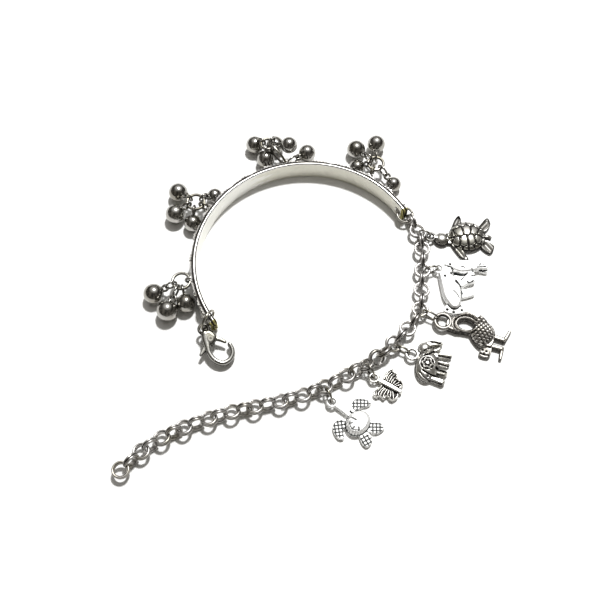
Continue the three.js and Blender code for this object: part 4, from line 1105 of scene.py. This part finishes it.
BUTTERFLY = Charm(
    "butterfly", 19.4, -23.5, -29, 16, 1.15, 0.38, "light", 0.1, 6,
    limbs=(
        Limb(2.1, ((1.3, 0.1, 0.6), (3.2, 0.15, 0.7), (7.9, 0, 0.55))),
    ),
    slabs=(
        Slab(1.6, (
            (2.5, -0.2), (2.1, 2), (2.1, 3.5), (2.9, 5), (3.7, 4.2), (4.8, 4.1), (5.5, 2.9), (6.6, 3),
            (7.5, 2.4), (7.4, 1.2), (6.6, -0.2),
        )),
        Slab(1.6, (
            (3, 0.2), (2.2, -1.9), (1.65, -3.6), (2.15, -4.4), (3.1, -4.4), (3.65, -3.75), (4.85, -4),
            (5.3, -2.8), (6.25, -3.3), (7, -3.2), (7.65, -2.4), (7.8, -1.3), (6.9, 0.2),
        )),
    ),
    marks=(
        Mark("rim", 0.36, 0.6, ()),
        *alike(
            Mark, ("ridge", 0.17, 0.5),
            ((3, 0.9), (2.7, 2.6), (3.1, 4.2)), ((4, 0.9), (3.9, 2.6), (4.4, 3.8)),
            ((5, 0.9), (5.3, 2.2), (5.7, 2.9)), ((5.9, 0.8), (6.7, 1.7), (7.2, 2.1)),
        ),
        *alike(
            Mark, ("ridge", 0.2, 0.5),
            ((2.9, -0.8), (2.3, -2.6), (2.6, -4.1)), ((3.9, -0.8), (3.5, -2.4), (3.7, -3.7)),
            ((4.9, -0.8), (5.1, -2), (5.3, -2.9)), ((5.9, -0.8), (6.7, -1.9), (7.1, -2.9)),
        ),
        *alike(
            Mark, ("ridge", 0.13, 0.45),
            ((3.5, 0.9), (3.2, 2.6), (3.7, 3.9)), ((4.5, 0.9), (4.6, 2.4), (5, 3.4)),
            ((5.5, 0.8), (6, 1.9), (6.5, 2.6)), ((3.4, -0.8), (2.9, -2.6), (3.2, -4)),
            ((4.4, -0.8), (4.3, -2.4), (4.5, -3.6)), ((5.4, -0.8), (5.9, -2), (6.2, -2.9)),
        ),
        Mark("groove", 0.14, 0.3, ((2.6, 0.9), (5, 0.85), (7.6, 0.6))),
        Mark("groove", 0.14, 0.3, ((2.6, -0.6), (5, -0.65), (7.6, -0.6))),
    ),
)
TURTLE_CHECKED = Charm(
    "turtle_checked", 8.3, -30.2, -38, 20, 1.2, 0.4, "white", 0.1, 6,
    domes=(Dome(8.6, -0.4, 3, 3.7, 3.2),),
    limbs=(
        Limb(2, ((1.3, 0.1, 0.65), (3.4, 0.15, 0.7), (6.4, 0, 0.7))),
    ),
    slabs=(
        *alike(
            Slab, (1.5,),
            ((5.6, 0.4), (4.25, 2.6), (4.2, 4.5), (5.6, 5.8), (8, 6.3), (8, 5.2), (6.6, 3.1), (7.4, 1.4)),
            (
                (5.9, -1.2), (4, -2.9), (3.9, -4.9), (5.2, -6.1), (7.2, -6.7), (8.2, -5.85), (6.7, -4),
                (7.6, -2.6),
            ),
            ((10.6, -0.9), (10.6, 1.2), (13.5, 3.4), (14.75, 2.8), (14, 0.4)),
            ((10.4, -2.3), (12.8, -4.05), (14.1, -4), (14.5, -2.7), (13.6, -1), (10.9, -1)),
        ),
    ),
    marks=(
        *alike(
            Mark, ("checks", 0.92, 0.35),
            ((6, 4.4), (2.6, 2.6), (0.8, 0.6)), ((5.6, -4.6), (2.6, 2.6), (0.7, -0.7)),
            ((13, 1.7), (1.9, 1.9), (0.8, 0.6)), ((13, -2.8), (1.7, 1.7), (0.9, -0.4)),
        ),
        Mark("groove", 0.16, 0.5, ((5.9, -1), (6.9, -0.5), (7.9, -0.4))),
        *alike(
            Mark, ("groove", 0.14, 0.5),
            ((6.9, -2.4), (7.6, -1.7)), ((8.6, -3), (8.7, -2.2)), ((10.2, -2.2), (9.7, -1.6)),
        ),
        Mark("shell", 0.9, 0.8, ()),
        Mark("plates", 0.1, 0.3, ((-95, 62), (0.66, 16))),
        Mark("groove", 0.14, 0.4, ((1.9, 1), (4.2, 1.15), (5.8, 0.9))),
    ),
)
CHARMS = (TURTLE_SCUTED, DOLPHINS, BIRD, ELEPHANT, BUTTERFLY, TURTLE_CHECKED)

CELL = 0.1               # grid step of the charms' faces
EDGE_ROUND = 0.28        # how far a flat plate's edge is rounded off


def distance_to_line(x, y, points):
    """Distance from places to a polyline, and any third column of its points at the nearest place."""
    rows = np.asarray(points, dtype=float)
    best = np.full(np.shape(x), np.inf)
    third = np.zeros(np.shape(x))
    for a, b in zip(rows[:-1], rows[1:]):
        step = b[:2] - a[:2]
        t = np.clip(((x - a[0]) * step[0] + (y - a[1]) * step[1]) / np.dot(step, step), 0, 1)
        apart = np.hypot(x - a[0] - t * step[0], y - a[1] - t * step[1])
        if rows.shape[1] > 2:
            width = a[2] + t * (b[2] - a[2])
            nearer = apart - width < best
            best = np.where(nearer, apart - width, best)
            third = np.where(nearer, width, third)
        else:
            best = np.minimum(best, apart)
    return best, third


def inside_outline(x, y, outline):
    """Distance to a closed outline, positive inside it."""
    closed = np.vstack((outline, outline[:1]))
    apart = distance_to_line(x, y, closed)[0]
    within = np.zeros(np.shape(x), dtype=bool)
    for (ax, ay), (bx, by) in zip(closed[:-1], closed[1:]):
        if ay == by:
            continue
        crossing = (ay > y) != (by > y)
        within ^= crossing & (x < (bx - ax) * (y - ay) / (by - ay) + ax)
    return np.where(within, apart, -apart)


def inside_ellipse(x, y, shape):
    """Roughly the distance to an ellipse, positive inside it, and how far out a place is as a share of it."""
    u, v = (x - shape.x) / shape.long, (y - shape.y) / shape.wide
    share = np.maximum(np.hypot(u, v), 1e-4)
    slope = np.hypot(u / shape.long, v / shape.wide) / share
    return (1 - share) / np.maximum(slope, 1e-4), share


def round_edge(inside, radius):
    """How far a plate's face drops near its edge."""
    share = 1 - np.clip(inside / radius, 0, 1)
    return radius * (1 - np.sqrt(1 - share**2))


def charm_body(charm, x, y):
    """Distance inside the charm's outline, and the heights of its two faces before any relief."""
    top = np.full(np.shape(x), -np.inf)
    bottom = np.full(np.shape(x), np.inf)
    reaches = []
    for dome in charm.domes:
        reach, share = inside_ellipse(x, y, dome)
        waist = CHARM_BASE + 0.3 * (dome.high - CHARM_BASE)
        rise = np.sqrt(np.clip(1 - share**2, 0, 1))
        upper, lower = waist + (dome.high - waist) * rise, waist - (waist - CHARM_BASE) * rise
        reaches.append((reach, upper, lower))
    for limb in charm.limbs:
        rows = np.array(limb.points)
        pull = unit(rows[-1, :2] - rows[-2, :2]) * 0.5 * rows[-1, 2]
        rows[-1, :2] -= pull
        gap, width = distance_to_line(x, y, curve_through(rows, 6))
        share = np.clip(1 + gap / np.maximum(width, 1e-3), 0, 1)
        middle = (limb.high + CHARM_BASE) / 2
        rise = np.sqrt(1 - share**charm.flat)
        half = (limb.high - CHARM_BASE) / 2
        reaches.append((-gap, middle + half * rise, middle - half * rise))
    for slab in charm.slabs:
        reach = inside_outline(x, y, curve_through(slab.points, 6, closed=True))
        drop = round_edge(reach, EDGE_ROUND)
        reaches.append((reach, slab.high - drop, CHARM_BASE + 0.6 * drop))
    inside = np.max([reach for reach, _, _ in reaches], axis=0)
    for reach, upper, lower in reaches:
        # A place just outside every shape still takes its heights from the nearest one.
        covers = reach >= np.minimum(inside, -0.02)
        top = np.where(covers, np.maximum(top, upper), top)
        bottom = np.where(covers, np.minimum(bottom, lower), bottom)
    if charm.hole:
        to_hole = -inside_ellipse(x, y, charm.hole)[0]
        drop = round_edge(to_hole, EDGE_ROUND)
        top = top - drop
        bottom = bottom + 0.6 * drop
        inside = np.minimum(inside, to_hole)
    return inside, top, bottom


def two_nearest(x, y, points):
    apart = np.sort(np.stack([np.hypot(x - px, y - py) for px, py in points]), axis=0)
    return apart[0], apart[1]


def mark_relief(charm, mark, x, y, inside):
    """Height that a mark adds, and its darkening, which is patina, painted shade or a shell's painted
    highlight.
    """
    if mark.kind in ("groove", "ridge", "trough", "shade"):
        near = bump(distance_to_line(x, y, curve_through(mark.points, 6))[0], mark.half)
        full = mark.amount * near
        along = {
            "groove": (-full, near), "ridge": (full, -0.6 * near),
            "trough": (-full, 0 * near), "shade": (0 * near, full),
        }
        return along[mark.kind]
    if mark.kind == "slope":
        (ax, ay), (bx, by) = mark.points
        step = (bx - ax, by - ay)
        share = ((x - ax) * step[0] + (y - ay) * step[1]) / (step[0] ** 2 + step[1] ** 2)
        near = smooth((mark.half - distance_to_line(x, y, mark.points)[0]) / 0.4)
        # A slope also paints a little shade on the face that falls away.
        return -mark.amount * np.clip(share, 0, 1.2) * near, 0.12 * near
    if mark.kind == "pool":
        # A pool sinks a gap between parts and paints the shadow that lies in it.
        deep = smooth(inside_outline(x, y, curve_through(mark.points, 6, closed=True)) / mark.half)
        return -mark.amount * deep, deep
    if mark.kind == "shell":
        reach, share = inside_ellipse(x, y, charm.domes[0])
        level = smooth((1 - share) / 0.3)
        fall = 1 - np.sqrt(np.clip(1 - share**2, 0, 1))
        # On a shell the darkening is negative: a painted highlight that whitens the dome.
        return fall * mark.amount * 2 * level, -mark.half * smooth(reach / 0.3)
    if mark.kind == "plates":
        (middle, reach), (inner, pitch) = mark.points
        dome = charm.domes[0]
        away, share = inside_ellipse(x, y, dome)
        turn = np.degrees(np.arctan2((y - dome.y) / dome.wide, (x - dome.x) / dome.long)) - middle
        turn = (turn + 180) % 360 - 180
        band = smooth((reach - np.abs(turn)) / 6)
        apart = (0.5 - np.abs((turn / pitch) % 1.0 - 0.5)) * math.radians(pitch) * dome.wide
        spokes = smooth((share - inner) / 0.03) * bump(apart, mark.half)
        lines = bump(dome.wide * (share - inner), mark.half) + spokes
        near = band * np.clip(lines, 0, 1) * smooth(away / 0.1)
        return -mark.amount * near, 1.9 * near
    if mark.kind == "pits":
        # The points are given twice, so that a single pit has a second nearest too.
        near = bump(two_nearest(x, y, mark.points * 2)[0], mark.half)
        return -mark.amount * near, near
    if mark.kind == "scutes":
        first, second = two_nearest(x, y, mark.points)
        pillow = smooth((second - first) / (3 * mark.half))
        on_shell = smooth(inside_ellipse(x, y, charm.domes[0])[0] / 0.3)
        return mark.amount * (pillow - 1) * on_shell, on_shell * bump(second - first, 1.4 * mark.half)
    if mark.kind == "collar":
        (cx, cy), (long, wide) = mark.points
        reach = np.abs(inside_ellipse(x, y, Hole(cx, cy, long, wide))[0])
        fade = 1 - smooth((x - 8.2) / 1.0)
        near = bump(reach, mark.half) * fade
        return mark.amount * near, -0.6 * near if mark.amount > 0 else near
    if mark.kind == "scales":
        (cx, cy), (long, wide) = mark.points
        area = smooth(inside_ellipse(x, y, Hole(cx, cy, long, wide))[0] / 0.5) * smooth((x - 7.6) / 0.8)
        u, v = (x - cx) / mark.half, (y - cy) / mark.half
        row = np.floor(v / 0.9)
        across = (u / 1.5 + 0.5 * (row % 2)) % 1.0 - 0.5
        up = v / 0.9 - row
        tip = np.hypot(across * 2.0, up - 1.0)
        scale = np.sqrt(np.clip(1 - tip**2, 0, 1))
        return mark.amount * area * (scale - 0.7), area * np.clip(1.1 - 1.5 * scale, 0, 1)
    if mark.kind == "flower":
        (cx, cy), _ = mark.points
        u, v = x - cx, y - cy
        far, turn = np.hypot(u, v), np.arctan2(v, u)
        disc = 1 - smooth((far - 1.75) / 0.2)
        petals = bump(far - 1.2 - 0.22 * np.cos(6 * turn), 0.26)
        heart = 1 - smooth((np.maximum(np.abs(u + v), np.abs(u - v)) / 1.414 - 0.36) / 0.12)
        raised = np.maximum(petals, heart)
        return disc * mark.amount * (raised - 0.7), disc * (1 - 1.3 * raised)
    if mark.kind == "rim":
        floor = smooth((inside - mark.half) / 0.16)
        beyond = smooth((distance_to_line(x, y, ((1.3, 0.1), (7.9, 0.0)))[0] - 0.65) / 0.15)
        return -mark.amount * floor * beyond, (0.45 + 0.35 * (y > 0)) * floor * beyond
    # The kind that is left is checks: raised squares in rows along (dx, dy).
    (cx, cy), (long, wide), (dx, dy) = mark.points
    area = smooth(inside_ellipse(x, y, Hole(cx, cy, long, wide))[0] / 0.3)
    u, v = ((x - cx) * dx + (y - cy) * dy) / mark.half, ((y - cy) * dx - (x - cx) * dy) / mark.half
    square = np.maximum(np.abs(u % 1.0 - 0.5), np.abs(v % 1.0 - 0.5))
    raised = 1 - smooth((square - 0.3) / 0.14)
    return mark.amount * area * (raised - 1), area * (0.85 - 1.2 * raised)


def soft_blur(values, weights, radius):
    """A box blur run three times over a grid, with weights."""
    for _ in range(3):
        for axis in (0, 1):
            total = np.zeros_like(values)
            share = np.zeros_like(weights)
            for shift in range(-radius, radius + 1):
                total += np.roll(values * weights, shift, axis)
                share += np.roll(weights, shift, axis)
            values = total / np.maximum(share, 1e-6)
            weights = np.clip(share, 0, 1)
    return values


def trace_grid(field, xs, ys):
    """Cuts a grid along a field's zero line, positive inside: places, faces by size, the line's edges."""
    inside = field > 0
    grid = np.stack(np.meshgrid(xs, ys), -1)
    count = inside.sum()
    node_id = np.full(field.shape, -1)
    node_id[inside] = np.arange(count)
    places = [grid[inside]]
    cut_ids = []
    for axis, step in ((1, (xs[1] - xs[0], 0.0)), (0, (0.0, ys[1] - ys[0]))):
        low, high = np.delete(field, -1, axis), np.delete(field, 0, axis)
        cut = (low > 0) != (high > 0)
        share = low[cut] / (low[cut] - high[cut])
        places.append(np.delete(grid, -1, axis)[cut] + share[:, None] * step)
        ids = np.full(cut.shape, -1)
        ids[cut] = count + np.arange(cut.sum())
        count += cut.sum()
        cut_ids.append(ids)
    across_id, up_id = cut_ids
    slots = (
        node_id[:-1, :-1], across_id[:-1, :], node_id[:-1, 1:], up_id[:, 1:],
        node_id[1:, 1:], across_id[1:, :], node_id[1:, :-1], up_id[:, :-1],
    )
    walk = np.stack(slots, -1).reshape(-1, 8)
    faces = {}
    edges = []
    code = (walk >= 0) @ (1 << np.arange(8))
    for value in np.unique(code[code > 0]):
        used = [k for k in range(8) if value >> k & 1]
        chosen = walk[code == value][:, used]
        faces.setdefault(len(used), []).append(chosen)
        for k, slot in enumerate(used):
            after = (k + 1) % len(used)
            if slot % 2 and used[after] % 2:
                edges.append(chosen[:, [k, after]])
    return np.vstack(places), [np.vstack(group) for group in faces.values()], np.vstack(edges)


def bilinear(values, x, y, xs, ys):
    u = np.clip((x - xs[0]) / (xs[1] - xs[0]), 0, len(xs) - 1.001)
    v = np.clip((y - ys[0]) / (ys[1] - ys[0]), 0, len(ys) - 1.001)
    i, j = v.astype(int), u.astype(int)
    a, b = v - i, u - j
    return ((1 - a) * (1 - b) * values[i, j] + (1 - a) * b * values[i, j + 1]
            + a * (1 - b) * values[i + 1, j] + a * b * values[i + 1, j + 1])


def build_charm(charm):
    corners = []
    for sign in (-1, 1):
        corners += [(dome.x + sign * dome.long, dome.y + sign * dome.wide) for dome in charm.domes]
        corners += [(x + sign * w, y + sign * w) for limb in charm.limbs for x, y, w in limb.points]
    corners += [point for slab in charm.slabs for point in slab.points]
    low, high = np.min(corners, axis=0) - 0.5, np.max(corners, axis=0) + 0.5
    xs = np.arange(low[0], high[0] + CELL, CELL)
    ys = np.arange(low[1], high[1] + CELL, CELL)
    grid_x, grid_y = np.meshgrid(xs, ys)

    def relief(x, y):
        inside, top, bottom = charm_body(charm, x, y)
        rise = np.zeros(np.shape(x))
        dark = np.zeros(np.shape(x))
        for mark in charm.marks:
            height, tarnish_and_shade = mark_relief(charm, mark, x, y, inside)
            rise = rise + height
            dark = dark + tarnish_and_shade
        rise = rise * smooth(inside / 0.2)
        return inside, np.maximum(top + rise, bottom + 0.25), bottom, dark

    inside, top, bottom, dark = relief(grid_x, grid_y)
    flat = np.where(inside > 0, top, 0.0)
    weights = (inside > 0).astype(float)
    hollow = (soft_blur(flat, weights, 3) - flat) * weights
    # Patina in hollows and on the marks, together with the painted shade and highlight that marks carry.
    hollows_and_shade = np.clip(dark, 0, 1) * 0.85 + np.clip(hollow / 0.35, -0.3, 1)
    places, faces, edges = trace_grid(inside, xs, ys)
    x, y = places[:, 0], places[:, 1]
    _, top, bottom, _ = relief(x, y)
    rim = bilinear(inside, x, y, xs, ys) < 0.5 * CELL
    outline = bump(bilinear(inside, x, y, xs, ys), 0.25)
    top_darkening = np.clip(bilinear(hollows_and_shade, x, y, xs, ys), 0, 1) * np.where(rim, 0.5, 1)
    # Painted shade along the outline, as strong as the charm's edge value.
    top_darkening = np.clip(top_darkening + charm.edge * outline, 0, 1)
    upper = np.column_stack((x, y, top))
    lower = np.column_stack((x, y, np.minimum(bottom, top - 0.02)))
    count = len(places)
    wall = np.column_stack((edges[:, 1], edges[:, 0], edges[:, 0] + count, edges[:, 1] + count))
    groups = faces + [group[:, ::-1] + count for group in faces] + [wall]
    skin = Skin()
    # Walls and underside take painted shade from the edge value, and the bail's darkness follows it.
    tarnish_and_shade = np.concatenate((top_darkening, np.full(count, 0.15 + 0.7 * charm.edge)))
    skin.add(np.vstack((upper, lower)), groups, tarnish_and_shade)
    bail_darkening = 0.1 + 0.6 * charm.edge
    add_ring(skin, vec(0, 0, BAIL_HEIGHT), vec(1, 0), UP, charm.bail, charm.wire, tarnish_and_shade=bail_darkening)
    turn = math.radians(charm.heading)
    place = np.eye(4)
    place[:2, :2] = ((math.cos(turn), -math.sin(turn)), (math.sin(turn), math.cos(turn)))
    place[:3, 3] = (charm.x, charm.y, -CHARM_BASE)
    skin.place(place)
    make_piece(f"cast_{charm.name}", skin, CASTINGS[charm.finish], [f"charm_{charm.name}"])


def hanging_point(link, bail_centre):
    """Where a charm's jump ring crosses its link: the nearest place on a flat one, the top of any other."""
    radius = (LINK_INNER + LINK_OUTER) / 2
    if abs(link.normal[2]) > 0.7:
        return nearest_on_ring(link.centre, link.normal, radius, bail_centre)[0]
    across = np.cross(link.normal, link.tangent)
    return link.centre + across * radius * (1 if across[2] > 0 else -1)


for index, charm in enumerate(CHARMS):
    build_charm(charm)
    bail_centre = vec(charm.x, charm.y, BAIL_HEIGHT - CHARM_BASE)
    hanging = hanging_point(links[charm.link], bail_centre)
    to_chain = unit((hanging - bail_centre) * (1, 1, 0))
    build_ring(f"jump_ring_{index + 1}", f"charm_ring_{index + 1}", add_bridge,
               bail_centre + to_chain * charm.bail, charm.wire, hanging, CHARM_LINK_CLEAR,
               CHARM_RING_WIRE, CHARM_RING_WIDEST, seam=150)

# ---------------------------------------------------------------- table, light and camera


TABLE_REACH = 5.0        # metres from the middle to each side
PAPER = (0.9, 0.9, 0.89, 1)
WINDOW_AZIMUTH, WINDOW_ELEVATION = 72, 65
WINDOW_DISTANCE, WINDOW_SIZE, WINDOW_WATTS = 1.1, 0.12, 14
GLOW_AZIMUTH, GLOW_ELEVATION = 80, 62
GLOW_EDGE, GLOW_HEART = 0.66, 0.96          # cosines of the angles from the glow's middle
GLOW = (0.78, 0.77, 0.75)
DARK_WALL = (0.03, 0.028, 0.025)
PALE_WALL = (0.22, 0.205, 0.18)
LENS = 54.5
CAMERA_STANDS = (0, -109.6, 224.7)          # from the plan's origin


def make_floor():
    mesh = bpy.data.meshes.new("table")
    corners = [(x * TABLE_REACH, y * TABLE_REACH, 0) for x, y in ((-1, -1), (1, -1), (1, 1), (-1, 1))]
    mesh.from_pydata(corners, [], [(0, 1, 2, 3)])
    floor = add_object("table", mesh)
    material = bpy.data.materials.new("white paper")
    shader = shader_of(material, "Principled BSDF")[1]
    shader.inputs["Base Color"].default_value = PAPER
    shader.inputs["Roughness"].default_value = 0.9
    mesh.materials.append(material)


def direction_to(azimuth, elevation):
    """azimuth is counted from +X towards +Y, in degrees."""
    elevation = math.radians(elevation)
    return plan_vector(azimuth) * math.cos(elevation) + UP * math.sin(elevation)


def add_window():
    """A round area light aimed at the bracelet."""
    data = bpy.data.lights.new("window", "AREA")
    data.shape = "DISK"
    data.size = WINDOW_SIZE
    data.energy = WINDOW_WATTS
    light = add_object("window", data)
    direction = Vector(direction_to(WINDOW_AZIMUTH, WINDOW_ELEVATION))
    light.location = direction * WINDOW_DISTANCE
    light.rotation_euler = direction.to_track_quat("Z", "Y").to_euler()


def make_world():
    """A dim, patchy room with a wide pale glow round the window, overhead and beyond the bracelet."""
    world = bpy.data.worlds.new("room")
    bpy.context.scene.world = world
    tree, background = shader_of(world, "Background")
    coordinates = tree.nodes.new("ShaderNodeTexCoord").outputs["Generated"]
    patches = map_range(tree, add_noise(tree, coordinates, 3.0, 3.0, 0.6), 0.42, 0.62)
    walls = mix_colour(tree, patches, DARK_WALL, PALE_WALL)
    toward = tree.nodes.new("ShaderNodeVectorMath")
    toward.operation = "DOT_PRODUCT"
    tree.links.new(coordinates, toward.inputs[0])
    toward.inputs[1].default_value = tuple(direction_to(GLOW_AZIMUTH, GLOW_ELEVATION))
    near = map_range(tree, toward.outputs["Value"], GLOW_EDGE, GLOW_HEART)
    tree.links.new(mix_colour(tree, near, walls, GLOW), background.inputs["Color"])
    background.inputs["Strength"].default_value = 1.0


make_floor()
add_window()
make_world()

camera_data = bpy.data.cameras.new("camera")
camera_data.sensor_width = 36
camera_data.lens = LENS
camera = add_object("camera", camera_data)
aim = -FOOTPRINT_MIDDLE * MILLIMETRE
camera.location = Vector(aim + vec(*CAMERA_STANDS) * MILLIMETRE)
camera.rotation_euler = (Vector(camera.location) - Vector(aim)).to_track_quat("Z", "Y").to_euler()
bpy.context.scene.camera = camera
bpy.context.scene.view_settings.view_transform = "Standard"
